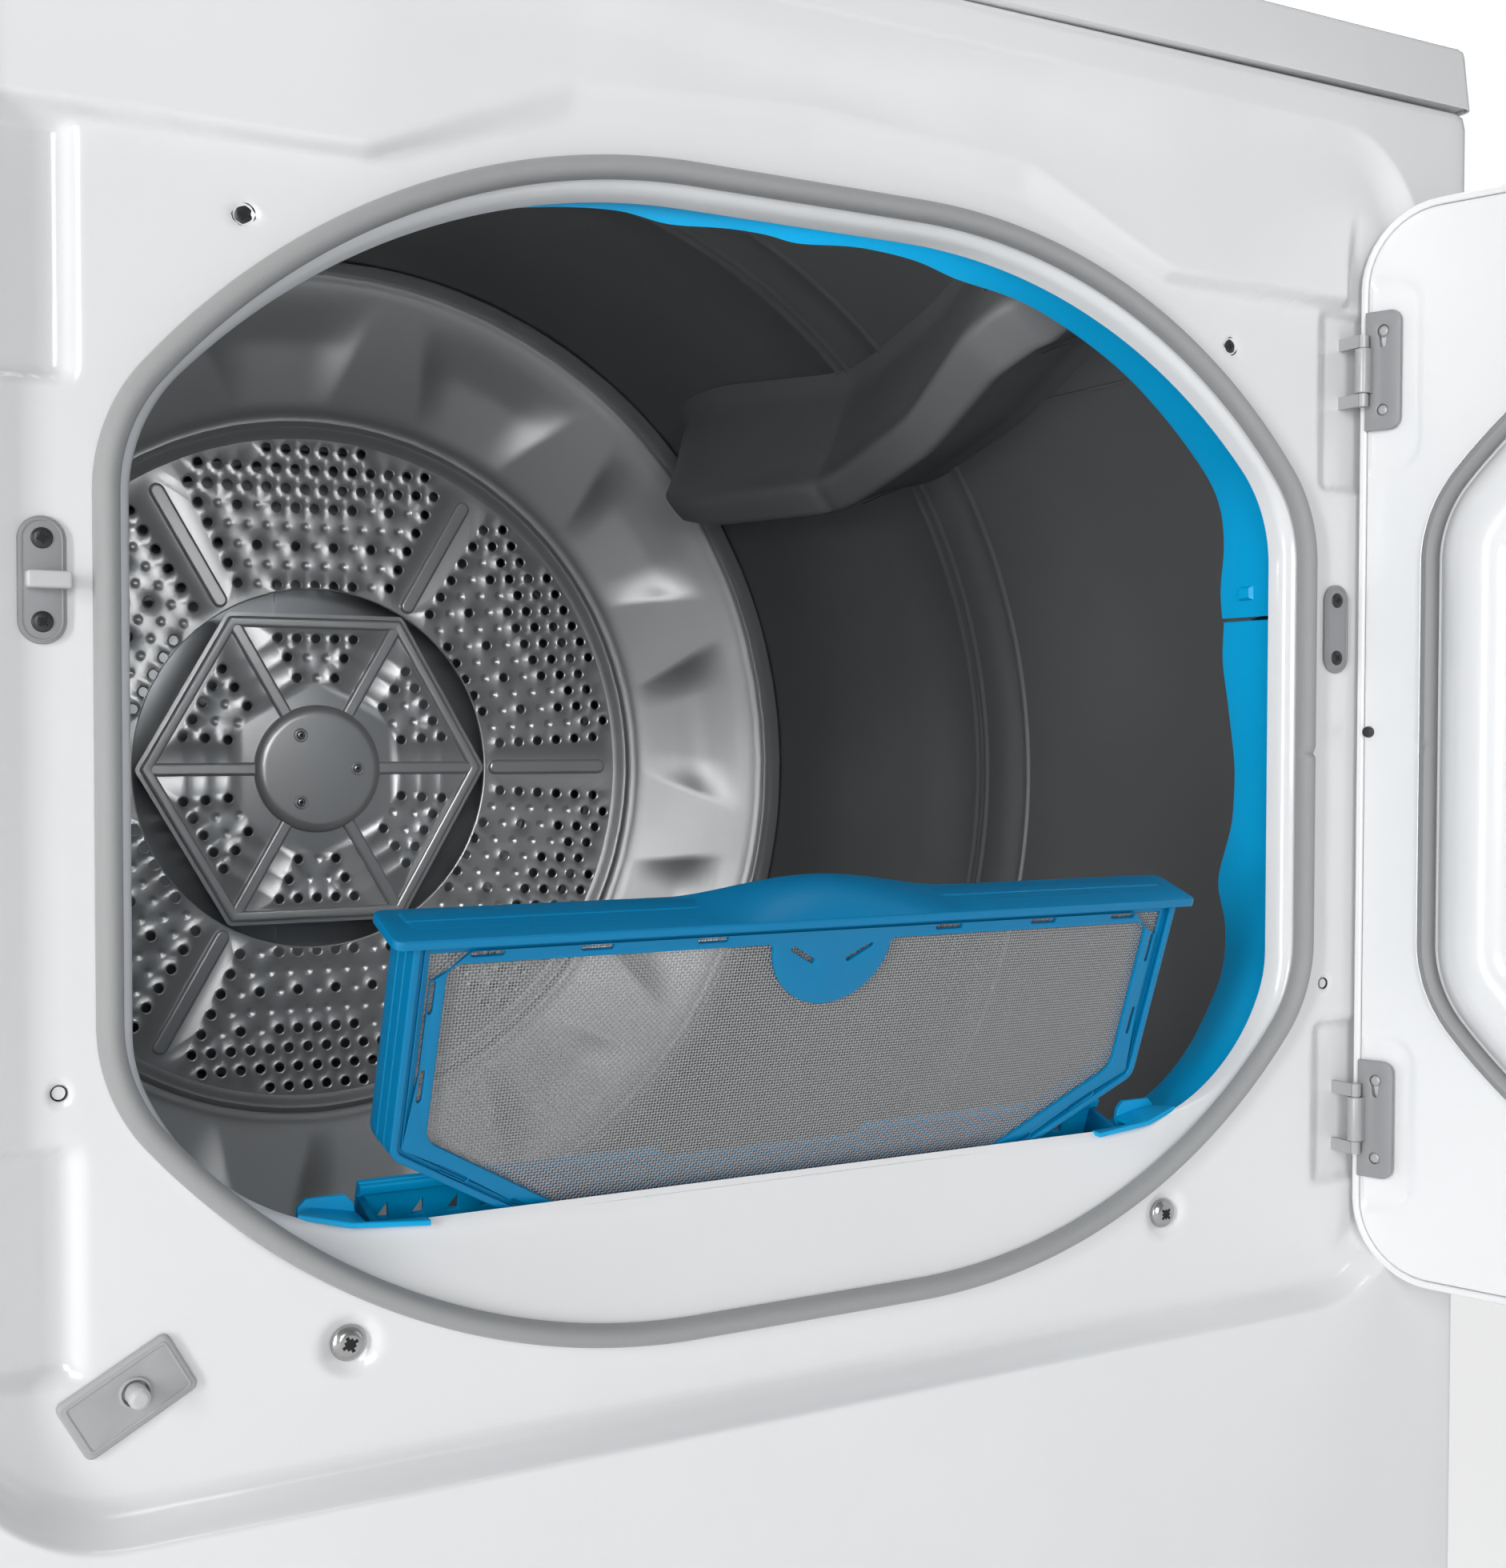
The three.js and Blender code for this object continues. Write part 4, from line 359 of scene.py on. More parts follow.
def roundedCorners(corners, inset=0.0, radius=3.0, count=6):
    # a polygon, counter-clockwise, moved in by a distance and its corners rounded
    corners = np.asarray(corners, float)
    arrive = corners - np.roll(corners, 1, 0)
    leave = np.roll(corners, -1, 0) - corners
    arrive /= np.hypot(*arrive.T)[:, None]
    leave /= np.hypot(*leave.T)[:, None]
    normals = [np.stack([-v[:, 1], v[:, 0]], -1) for v in (arrive, leave)]
    shift = (normals[0] + normals[1]) / (1 + np.sum(normals[0] * normals[1], 1))[:, None]
    moved = corners + inset * shift
    turn = np.arctan2(arrive[:, 0] * leave[:, 1] - arrive[:, 1] * leave[:, 0], np.sum(arrive * leave, 1))
    radii = np.broadcast_to(np.asarray(radius, float), (len(corners),))
    out = []
    for spot, before, bend, base in zip(moved, arrive, turn, radii):
        size = max(base - inset * math.copysign(1, bend), 0.05)
        first = spot - before * size * math.tan(abs(bend) / 2)
        middle = first + math.copysign(size, bend) * np.array([-before[1], before[0]])
        start = math.atan2(*(first - middle)[::-1])
        for share in np.linspace(0, 1, count):
            angle = start + bend * share
            out.append(middle + size * np.array([math.cos(angle), math.sin(angle)]))
    return np.array(out)


def softBox(left, right, low, high, corner=1.0, count=4):
    return roundedCorners([(left, low), (right, low), (right, high), (left, high)], 0, corner, count)


def grown(loop, distance):
    # a closed counter-clockwise outline pushed outwards along its own normals
    along = np.roll(loop, -1, 0) - np.roll(loop, 1, 0)
    along = along / np.maximum(np.hypot(*along.T), 1e-9)[:, None]
    return loop + distance * np.stack([along[:, 1], -along[:, 0]], -1)


def inside(points, loop):
    # which points lie within a closed outline
    x, z = points[:, 0][:, None], points[:, 1][:, None]
    ax, az = loop[:, 0], loop[:, 1]
    bx, bz = np.roll(ax, -1), np.roll(az, -1)
    crossing = (az > z) != (bz > z)
    with np.errstate(divide="ignore", invalid="ignore"):
        at = ax + (z - az) * (bx - ax) / (bz - az)
    return (np.sum(crossing & (x < at), 1) % 2) == 1


def loopEdges(loops):
    # pairs of neighbouring points round each closed outline, numbered one outline after the other
    edges, start = [], 0
    for loop in loops:
        edges += [(start + i, start + (i + 1) % len(loop)) for i in range(len(loop))]
        start += len(loop)
    return edges


def laid(outline, depth):
    # a flat outline of [x, z] set at a depth
    return np.insert(outline, 1, depth, axis=1)


def fillLoops(outer, holes=(), dots=()):
    # triangles between an outline and its holes, through any dots given
    loops = [outer, *holes]
    points = np.concatenate([*loops, *dots])
    made = delaunay_2d_cdt([Vector(p) for p in points], loopEdges(loops), [], 0, 1e-7)
    source = [given[0] if given else -1 for given in made[3]]
    faces = [[source[i] for i in face] for face in made[2]]
    faces = np.array([face for face in faces if min(face) >= 0])
    middles = points[faces].mean(1)
    good = inside(middles, outer)
    for hole in holes:
        low, high = hole.min(0), hole.max(0)
        near = good & np.all((middles > low) & (middles < high), 1)
        if near.any():
            good[np.flatnonzero(near)[inside(middles[near], hole)]] = False
    return points, faces[good]


def slab(outer, holes, front, back, bevel):
    # a flat plate between two depths, pierced by holes, with its front edges rounded
    outer, holes = np.asarray(outer, float), [np.asarray(h, float) for h in holes]
    flat, faces = fillLoops(grown(outer, -bevel), [grown(h, bevel) for h in holes])
    rows = []
    for share, depth in [(1.0, 0.0), (0.5, 0.14), (0.13, 0.5), (0.0, 1.0)]:
        loops = [grown(outer, -bevel * share)] + [grown(h, bevel * share) for h in holes]
        rows.append((np.concatenate(loops), front + bevel * depth))
    rows.append((np.concatenate([outer] + holes), back))
    count, last = len(flat), len(rows) - 1
    made = faces.tolist() + (faces[:, ::-1] + last * count).tolist()
    made += [[row * count + a, row * count + b, (row + 1) * count + b, (row + 1) * count + a]
             for row in range(last) for a, b in loopEdges([outer] + holes)]
    return np.concatenate([laid(*row) for row in rows]), made


def around(reach, angles, depth, x=0.0, z=drum["axis"]):
    # points at a distance and direction from an axis that runs along y
    return np.stack(np.broadcast_arrays(x + reach * np.cos(angles), depth, z + reach * np.sin(angles)), -1)


def lathe(line, count, x=0.0, z=drum["axis"]):
    # rows from a line of [radius, y] pairs turned about such an axis
    angles = np.radians(np.linspace(0, 360, count, endpoint=False))
    return np.stack([around(r, angles, y, x, z) for r, y in line])


def turned(line, count=48, x=0.0, z=0.0):
    # a solid of revolution: its line starts and ends on the axis, or closes on itself
    return lathe(line, count, x, z), gridFaces(len(line), count)


def rounded(line, radius=0.6, count=4):
    # an open line with each inner corner rounded
    line = np.asarray(line, float)
    out = [line[0]]
    for before, spot, after in zip(line, line[1:], line[2:]):
        a, b = before - spot, after - spot
        la, lb = np.hypot(*a), np.hypot(*b)
        size = min(radius, la * 0.45, lb * 0.45)
        first, last = spot + a / la * size, spot + b / lb * size
        for share in np.linspace(0, 1, count):
            out.append((1 - share) ** 2 * first + 2 * share * (1 - share) * spot + share ** 2 * last)
    out.append(line[-1])
    return np.array(out)


def swept(line, section):
    # a section of [out, depth] pairs carried round a closed outline of [x, z]
    return np.stack([laid(grown(line, out), depth) for out, depth in section])


def screwHead(piece, x, z, face, radius, tone, recessShadeTone, dome=1.2, turn=20.0, square=0.3):
    # a round head with a square recess and short wings; the recess is a flat cross in its own tone, near black as
    # painted shade
    size = radius * square
    line = rounded([(0.0, face - dome), (radius * 0.62, face - dome), (radius * 0.95, face - dome * 0.45),
                    (radius, face), (radius * 0.9, face + 0.6), (0.0, face + 0.6)], radius * 0.16)
    piece.add(*turned(line, 32, x, z), tone)
    wing, arm = size * 1.75, size * 0.36
    quarter = [(wing, -arm), (wing, arm), (size, arm), (size, size), (arm, size)]
    cross = np.concatenate([spun(quarter, 90 * k + turn) for k in range(4)]) + [x, z]
    # the recess: a thin flat cross, coloured dark to paint the shade inside it
    piece.add(*slab(cross, [], face - dome - 0.05, face - dome + 0.5, 0.02), recessShadeTone)


opening = dict(half=250.0, top=785.0, bottom=418.0, sillFlat=165.0, sillSide=90.0, sillTight=50.0, depth=12.0)
gasket = dict(half=259.5, top=794.5, bottom=367.0, flat=50.0, side=84.6, tight=60.0, width=8.4, height=7.0,
              joint=581.0)


def gasketLine(grow):
    # the middle of the seal round the opening, pushed outwards
    height = (gasket["top"] - gasket["bottom"]) / 2 + grow
    quarter = quarterOval(gasket["half"] + grow, height, gasket["flat"], gasket["side"], gasket["tight"] + grow)
    return oval(quarter, quarter, centreZ)


def openingLine(grow):
    # the edge of the opening, pushed outwards
    half = opening["half"] + grow
    upper = quarterOval(half, opening["top"] - centreZ + grow, gasket["flat"], gasket["side"], gasket["tight"] + grow)
    lower = quarterOval(half, centreZ - opening["bottom"] + grow, opening["sillFlat"], opening["sillSide"],
                        opening["sillTight"] + grow)
    return oval(upper, lower, centreZ)


def inwards(x, z, half, bottom, top, corner):
    # distance in from a rounded rectangle's edge
    qx = np.abs(x) - (half - corner)
    qz = np.abs(z - (top + bottom) / 2) - ((top - bottom) / 2 - corner)
    outside = np.hypot(np.maximum(qx, 0), np.maximum(qz, 0))
    return corner - outside - np.minimum(np.maximum(qx, qz), 0)


pad = dict(step=6.0, stepHeight=6.0, archSide=175.0, archShoulder=100.0, archRise=25.0, channel=283.0, channelTop=815.0,
           foldX=-8.0, foldHalf=62.0, foldDepth=2.2, pocketInner=270.5, pocketOuter=302.0, pocketDepth=3.4,
           pockets=[(700.0, 779.0), (385.0, 457.0)])
seats = dict(pan=(181.3, 380.9), hole=(275.0, 475.3), sunk=(215.2, 758.4))


def panelDepth(x, z):
    # how deep the pressed sheet lies at each place
    r, reach = recess, np.abs(x)
    deep = inwards(x, z, r["half"], r["bottom"], r["top"], r["corner"])
    wall = 1 - (1 - np.clip(deep / 13.0, 0, 1)) ** 2.4
    wall = wall * step(deep, -1.5, 5)
    # a steep ledge below, then a soft rise on to the pad
    up = np.clip((z - r["bottom"] + 0.5) / 30.0, 0, 1)
    floor = (1 - (1 - up) ** 7) * step(z - r["bottom"], -1.5, 4)
    # the roof sweeps down in a broad cove to a small step along the pad's top edge
    padEdge = cabinet["padTop"] + np.interp(reach, [0, pad["archShoulder"], pad["archSide"]],
                                            [pad["archRise"] + 6, pad["archRise"], 0.0])
    soft = step(reach, 195.0, 90.0)
    high = pad["stepHeight"] * (1 + 1.6 * soft)
    share = np.clip((r["top"] - z) / (r["top"] - padEdge - high), 0, 1)
    roof = (1 - (1 - share) ** 2.3) * (1 - pad["step"] / r["depth"])
    roof = roof + pad["step"] / r["depth"] * step(z, padEdge + high, padEdge)
    # on the hinge side a channel runs on up to a point
    channel = step(x, pad["channel"] - 5, pad["channel"] + 3)
    channel = channel * step(z, pad["channelTop"] + 10 - (reach - pad["channel"]) * 0.4, pad["channelTop"] - 22)
    roof = roof + (1 - roof) * channel
    roof = roof * step(r["top"] - z, -1.5, 5)
    # one broad fold down the middle of the roof
    fold = np.exp(-((x - pad["foldX"]) / pad["foldHalf"]) ** 4)
    fold = fold * step(z, padEdge + 6, padEdge + 26) * step(z, r["top"] - 6, r["top"] - 26)
    depth = -r["depth"] * (1 - wall * floor * roof) + pad["foldDepth"] * fold
    for low, high in pad["pockets"]:
        # shallow pockets behind the hinges, the same on both sides
        cut = step(reach, pad["pocketInner"] - 4.5, pad["pocketInner"] + 4.5)
        cut = cut * step(reach, pad["pocketOuter"] + 2.4, pad["pocketOuter"] - 2.4)
        cut = cut * step(z, low - 2.2, low + 2.2) * step(z, high + 2.2, high - 2.2)
        depth = depth + pad["pocketDepth"] * cut
    return depth


def dimples(x, z, depth):
    # dished seats round the screws and the small holes
    for seat, radius, drop in [("pan", 12.0, 3.2), ("hole", 4.6, 1.4), ("sunk", 4.9, 1.8)]:
        for side in (-1, 1):
            away = np.hypot(x - side * seats[seat][0], z - seats[seat][1])
            depth = depth + drop * step(away, radius, radius * 0.45)
    return depth


def spreadTurns():
    # directions round the panel, closer together where the pockets are
    lip = roundRect(recess["half"], recess["bottom"], recess["top"], 50.0)
    walk = resample(lip, 6000)
    near = 0.5 * (walk[:, 1] > 850) + 0.8 * (np.abs(walk[:, 1] - 785) < 40)
    for level in np.ravel(pad["pockets"]):
        near += (np.abs(walk[:, 0]) > 290) * np.exp(-((walk[:, 1] - level) / 14) ** 2)
    run = np.cumsum(1 + 1.2 * near)
    picked = np.interp(np.linspace(0, run[-1], 800, endpoint=False), run, np.arange(len(walk))).astype(int)
    turns = np.arctan2(walk[picked, 1] - centreZ, walk[picked, 0])
    corners = [math.atan2(z - centreZ, side * cabinet["half"]) for z in (cabinet["high"], cabinet["low"])
               for side in (1, -1)]
    return np.unique(np.concatenate([turns, corners]))


def ringOf(reach, turns, depth):
    # a ring round the panel's middle, its depth a number or worked out at each place
    ring = around(reach, turns, 0.0, z=centreZ)
    ring[:, 1] = depth(ring[:, 0], ring[:, 2]) if callable(depth) else depth
    return ring


def frontPanel():
    turns = spreadTurns()
    reachOpening = rayReach(openingLine(0), turns)
    reachGasket = rayReach(gasketLine(gasket["width"] / 2 + 3), turns)
    rings = []

    def ringAt(reach, depth):
        rings.append(ringOf(reach, turns, depth))

    def outerEdge(cut, corner):
        return rayReach(roundRect(cabinet["half"] - cut, cabinet["low"] + cut, cabinet["high"] - cut, corner), turns)

    edge, flange = 5.0, 17.0
    for angle in np.radians(np.linspace(0, 90, 6)):
        # rolled outer edge
        ringAt(outerEdge(edge * (1 - math.cos(angle)), 5.0), -recess["depth"] + edge * (1 - math.sin(angle)))
    rings.insert(0, rings[0] + [0, flange, 0])
    innerEdge = outerEdge(edge, 4.0)
    flatLine = roundRect(recess["half"] + 3, recess["bottom"] - 3, recess["top"] + 3, recess["corner"] + 3)
    flatEnd = rayReach(flatLine, turns)
    for share in np.linspace(0, 1, 6)[1:]:
        ringAt(innerEdge + (flatEnd - innerEdge) * share, panelDepth)
    for share in np.linspace(0, 1, 85)[1:]:
        # closer together near the recess wall
        ringAt(flatEnd + (reachGasket - flatEnd) * share ** 1.3, lambda x, z: dimples(x, z, panelDepth(x, z)))

    def low(x, z):
        # where the sill is
        return step(z, 452.0, 412.0) * step(np.abs(x), 235.0, 190.0)

    for share in np.linspace(0, 1, 15)[1:]:
        # from the gasket's seat the sheet rolls inwards to the lip, and at the bottom slopes up as a sill
        side = opening["depth"] * (1 - math.sqrt(max(1 - max((share - 0.35) / 0.65, 0) ** 2, 0)))
        slope = 9.5 * float(step(share, 0.05, 1.0)) + 1.5 * max((share - 0.93) / 0.07, 0) ** 2
        ringAt(reachGasket + (reachOpening - reachGasket) * share,
               lambda x, z: side * (1 - low(x, z)) + slope * low(x, z))
    for depth, grow in [(opening["depth"] + 0.4, 0.5), (opening["depth"] + 0.4, 1.6), (opening["depth"] - 1.2, 2.4)]:
        # the lip curls back on itself
        ringAt(rayReach(openingLine(grow), turns), lambda x, z: depth - low(x, z))
    Piece().sheet(np.stack(rings), turned=True).make("pressedFront", "whiteEnamel", smooth=50, tidy=False,
                                                    replaces=["front_panel"])


frontPanel()
print("front panel pressed")


def openingSeal():
    line = resample(gasketLine(0), 900)
    half, high = gasket["width"] / 2, gasket["height"]
    angles = np.radians(np.linspace(0, 180, 15))
    rows = swept(line, [(half * math.cos(t), -0.3 - (high - 0.3) * math.sin(t) ** 0.8) for t in angles])
    # the two ends butt together on the right
    seam = np.exp(-((line[:, 1] - gasket["joint"]) / 0.9) ** 2) * (line[:, 0] > 0)
    rows[:, :, 1] += 2.6 * seam * (rows[:, :, 1] < -0.6)
    Piece().sheet(rows).make("openingSeal", "gasketFelt", slot="gasket_foam", tidy=False, replaces=["opening_gasket"])


openingSeal()
print("opening seal laid")


discPitch = 13.0
discRows = [  # distance from the axis, holes in the row, those pressed shut
    (214.8, 6, ()), (201.8, 13, ()), (188.8, 14, ()), (175.8, 13, (1, 3, 9, 11)), (162.8, 12, range(1, 11)),
    (149.8, 11, range(1, 11, 2)), (136.8, 10, range(1, 9)), (123.8, 9, (1, 7))]
hexRows = [(87.8, 5, ()), (74.8, 4, (1, 2)), (61.3, 3, (1,))]
pads = dict(first=6.0, pitch=30.0, inner=242.0, knee=281.0, outer=308.0, narrow=7.0, wide=11.2, depth=2.6)


def rowPlaces(rows):
    # where the holes stand: open ones and shut ones, with the sector's middle along x
    opens, shuts = [], []
    for distance, count, closed in rows:
        for i in range(count):
            (shuts if i in closed else opens).append((distance, (i - (count - 1) / 2) * discPitch))
    return opens, shuts


def pierced(outline, opens, shuts, face, hole=3.2):
    # sheet with punched holes that have raised rims, and round dimples where none is punched
    loops = [circle(x, z, hole, 12) for x, z in opens]
    dots = [circle(x, z, hole + more, 12) for x, z in opens for more in (0.8, 1.5)]
    dots += [circle(x, z, r, n) for x, z in shuts for r, n in ((0.01, 1), (1.5, 7), (2.9, 10), (4.0, 12))]
    levels = [np.full(len(outline), 0.0)] + [np.full(12, -0.15)] * len(loops)
    levels += [np.full(12, y) for _ in opens for y in (-0.6, 0.0)]
    levels += [np.full(n, y) for _ in shuts for y, n in ((1.3, 1), (1.05, 7), (0.2, 10), (0.0, 12))]
    flat, faces = fillLoops(outline, loops, dots)
    points = np.concatenate([laid(flat, face + np.concatenate(levels)), laid(np.concatenate(loops), face + 1.6)])
    count, start = len(flat), len(outline)
    walls = [[start + a, start + b, count + b, count + a] for a, b in loopEdges(loops)]
    return points, faces.tolist() + walls


def turnAbout(points, angle):
    # a turn about the drum's axis, from places measured from the axis
    return spun(points, angle, 0, 2) + [0, 0, drum["axis"]]


def roundBar(start, end, half, count=9):
    # a bar along x with round ends
    return np.concatenate([arc(end - half, 0, half, -90, 90, count), arc(start + half, 0, half, 90, 270, count)])


def drumShell():
    radius, sheet = drum["radius"], 0.75

    def bead(middle, half=3.4, depth=2.0):
        return [(radius - depth * math.cos(math.pi * t / 2) ** 2, middle + half * t) for t in np.linspace(-1, 1, 7)]

    lip = [(303.2, 40.4), (303.0, 44.6), (303.7, 46.1), (305.5, 46.6), (323.5, 46.6), (326.6, 47.6), (328.4, 49.6)]
    line = lip + [(radius, y) for y in (52.5, 120.0, 200.0)] + bead(290.4) + [(radius, 310.0)]
    line += bead(331.4) + bead(341.4) + [(radius, y) for y in (400.0, 480.0, 560.0, 602.6)]
    rows, outer = lathe(line, 180), lathe([(r + sheet, y) for r, y in line[::-1]], 180)
    shell = Piece().sheet(np.concatenate([rows, outer, rows[:1]]))
    # the rolled sheet's ends meet in two lock seams along the drum
    seam = [(radius + 0.4, -1.1), (radius - 0.8, -0.9), (radius - 1, 0.0), (radius - 0.8, 0.9), (radius + 0.4, 1.1)]
    reach, off = np.array(seam).T
    for angle in np.radians([38.0, 218.0]):
        strip = [around(reach, angle + off / radius, y) for y in np.linspace(60, 284, 12)]
        shell.sheet(np.stack(strip), closed=False)
    shell.make("drumShell", "drumCoat", body="drum", slot="dark_coat", smooth=50, replaces=["drum_shell"], tidy=False)


drumShell()


def drumBack():
    # the rolled rim, the raked dish, then the bead round the flat disc
    line = [(328.1, 585.4), (328.1, 599.0), (327.2, 602.4), (325.4, 603.6), (323.4, 603.0), (321.8, 603.2),
            (320.2, 604.4)]
    line += list(zip(np.linspace(318.0, pads["inner"], 17), np.linspace(605.0, 639.8, 17)))
    line += [(239.0, 641.8), (236.2, 644.2), (233.6, 644.4), (231.6, 642.2), (229.6, 641.5), (227.6, 642.4),
             (225.4, 645.2), (drum["disc"], drum["back"])]
    offsets = np.array([-1.14, -1.0, -0.9, -0.45, 0.0, 0.45, 0.9, 1.0, 1.14])
    rows = []
    for r, y in line:
        share = min(max((r - pads["inner"]) / (pads["outer"] - pads["inner"]), 0), 1)
        half = pads["narrow"] + (pads["wide"] - pads["narrow"]) * share
        rise = np.interp(r, [pads["inner"], pads["knee"], pads["knee"] + 4, pads["outer"]], [0.0, 1.0, 0.94, 0.0])
        places, deep = [], []
        for k in range(12):
            middle = pads["first"] + pads["pitch"] * k
            places += list(middle + offsets * half)
            places += [middle + half * 1.14 + (30 - 2.28 * half) * share for share in (0.33, 0.67)]
            deep += [0, 0.05, 1, 1, 1, 1, 1, 0.05, 0, 0, 0]
        rows.append(around(r, np.radians(places), y + pads["depth"] * rise * np.array(deep)))
    back = Piece().sheet(np.stack(rows))
    opens, shuts = rowPlaces(discRows)
    sector = np.concatenate([arc(0, 0, drum["disc"], -30, 30, 30), arc(0, 0, drum["rim"], 30, -30, 16)])
    points, faces = pierced(sector, opens, shuts, drum["back"])
    for k in range(6):
        back.add(turnAbout(points, 30 + 60 * k), faces, 1)
        ribPoints, ribFaces = slab(roundBar(124.0, 214.4, 5.2), [], drum["back"] - 2.7, drum["back"] + 0.4, 2.0)
        back.add(turnAbout(ribPoints, 60 * k), ribFaces, 1)
    back.sheet(lathe([(drum["rim"], drum["back"]), (121.2, 647.2), (121.0, 648.6)], 96), 1)
    back.make("drumBack", ["discDish", "discSteel"], body="drum", slot="dark_coat", smooth=42, replaces=["drum_back"],
              tidy=False)


def hexagon(radius, corner=4.0):
    return roundedCorners([(radius * math.cos(a), radius * math.sin(a)) for a in np.radians(np.arange(0, 360, 60))],
                          0, corner, 5)


def coverPlate():
    plate, outline, face, sheet = Piece(), hexagon(120.4), 645.2, 1.2
    opens, shuts = [[tuple(place) for k in range(6) for place in spun(places, 30 + 60 * k)]
                    for places in rowPlaces(hexRows)]
    points, faces = pierced(outline, opens, shuts, face, 3.1)
    plate.add(turnAbout(points, 0), faces)
    rows = [laid(outline, y) for y in (face, face + sheet)]
    plate.add(turnAbout(np.concatenate(rows), 0), gridFaces(2, len(outline)))
    # a rounded bead along the hexagon's edge and from the hub to each corner
    rimPoints, rimFaces = slab(hexagon(117.4, 3.0), [hexagon(109.0, 2.0)], face - 2.9, face + 0.3, 1.9)
    plate.add(turnAbout(rimPoints, 0), rimFaces)
    for k in range(6):
        spokePoints, spokeFaces = slab(roundBar(34.0, 112.0, 4.4), [], face - 2.7, face + 0.3, 1.9)
        plate.add(turnAbout(spokePoints, 60 * k), spokeFaces)
    hub = rounded([(0.0, 637.9), (38.2, 637.9), (42.8, 640.6), (43.0, 645.6)], 2.2, 5)
    plate.add(*turned(hub, 72, 0, drum["axis"]))
    for angle in (0, 120, 240):
        # three screws, each in a low collar
        x, z = spun([(26, 0)], angle)[0] + [0, drum["axis"]]
        plate.add(*turned(rounded([(4.9, 637.95), (4.5, 637.4), (3.9, 637.2), (3.4, 638.0)], 0.3), 24, x, z))
        screwHead(plate, x, z, 638.0, 3.1, 1, 2, dome=1.3, turn=angle + 20)
    plate.make("coverPlate", ["discSteel", "brightScrew", "shadowGap"], body="drum", slot="zinc_steel", smooth=42,
               replaces=["drum_cover_plate"], tidy=False)


drumBack()
coverPlate()
print("drum spun and pierced")


vane = dict(front=70.0, rear=540.0, foot=328.6, crest=262.0, stations=46)
vaneSteps = np.array([  # share of the length, foot angles, crest angles, rise
    [0.0, 58.0, 44.0, 51.5, 47.5, 0.15], [0.035, 57.8, 43.4, 54.6, 48.6, 0.80], [0.08, 57.5, 43.0, 55.0, 49.0, 1.0],
    [0.3, 51.0, 36.5, 45.5, 40.5, 1.0], [0.52, 46.8, 32.2, 40.3, 35.6, 1.0], [0.58, 46.6, 32.1, 40.1, 35.6, 1.0],
    [0.85, 49.5, 33.0, 41.5, 37.0, 1.0], [0.95, 49.2, 33.8, 42.4, 38.3, 0.92], [0.985, 48.4, 35.2, 42.8, 39.2, 0.6],
    [1.0, 47.0, 37.0, 43.0, 40.5, 0.15]])


def lifter(name, replaced, turn):
    shares = np.unique(np.concatenate([np.linspace(0, 1, vane["stations"]), [0.012, 0.02, 0.035, 0.05, 0.54, 0.56]]))
    high, low, crestHigh, crestLow, rise = [np.interp(shares, vaneSteps[:, 0], vaneSteps[:, k]) for k in range(1, 6)]
    soft = [np.convolve(np.pad(v, 2, mode="edge"), [0.1, 0.2, 0.4, 0.2, 0.1], mode="valid")
            for v in (high, low, crestHigh, crestLow)]
    rows, stretch = [], 5.0  # the section's corners are rounded with angles drawn to this scale
    for share, hi, lo, top, under, up in zip(shares, *soft, rise):
        y = vane["front"] + (vane["rear"] - vane["front"]) * share
        crest = vane["foot"] - (vane["foot"] - vane["crest"]) * up
        # a small saddle where the crest bends
        crest += 2.4 * math.exp(-((share - 0.55) / 0.012) ** 2)
        side = [(0, 0), (0.25, 0.12), (0.88, 0.8), (1, 1)]
        flat = [(lo + (under - lo) * a, vane["foot"] - (vane["foot"] - crest) * b) for a, b in side]
        flat += [(hi - (hi - top) * a, vane["foot"] - (vane["foot"] - crest) * b) for a, b in side[::-1]]
        angles, reach = rounded([(a * stretch, r) for a, r in flat], 5.0, 4).T
        rows.append(around(reach, np.radians(angles / stretch + turn), y))
    piece = Piece().capped(np.stack(rows))
    # short pressed slits near both ends, each a thin strip of near-black painted shade
    for share, side, r0, r1 in [(0.075, 1, 283.0, 306.0), (0.075, -1, 283.0, 306.0), (0.5, -1, 270.0, 298.0)]:
        hi, lo, top, under = [float(np.interp(share, shares, v)) for v in soft]
        y = vane["front"] + (vane["rear"] - vane["front"]) * share
        slit, edges = [], np.array([-1.6, -0.6, 0.6, 1.6])
        for r in np.linspace(r0, r1, 8):
            part = ((r - vane["crest"]) / (vane["foot"] - vane["crest"])) ** 1.3
            base = top + (hi - top) * part if side > 0 else under - (under - lo) * part
            slit.append(around(r, math.radians(base + side * 0.35 + turn), y + edges))
        piece.sheet(np.stack(slit), 1, closed=False)
    piece.make(name, ["lifterPlastic", "shadowGap"], body="drum", slot="lifter_plastic", smooth=44, replaces=[replaced])


for number in (1, 2, 3):
    lifter(f"lifter{number}", f"lifter_{number}", 120 * (number - 1))
print("lifters fitted")


band = dict(gap=4.8, front=13.6, wall=2.4, flange=31.0, rim=44.0, outer=299.5, seam=17.0, slit=0.2, cutHalf=171.0)
bandRear = np.array([[-180, 46.0], [-148, 44.7], [-110, 47.0], [-60, 45.0], [-45, 41.5], [-31.4, 44.7], [-23.4, 46.6],
                     [-18.5, 44.6], [-13.4, 44.0], [-10.5, 51.5], [-7.4, 46.5], [-3.9, 40.2], [2.1, 38.8], [9.2, 44.4],
                     [13.9, 49.0], [16.1, 46.2], [19.5, 50.6], [27.9, 42.7], [45, 41.0], [58, 43.5], [64.5, 53.0],
                     [70, 47.5], [78, 46.6], [83.5, 55.5], [87.5, 48.0], [92.6, 47.2], [98.4, 55.0], [104, 45.0],
                     [118, 43.0], [135, 49.0], [147, 42.5], [158, 50.5], [166, 45.5], [172, 40.5], [180, 46.0]])


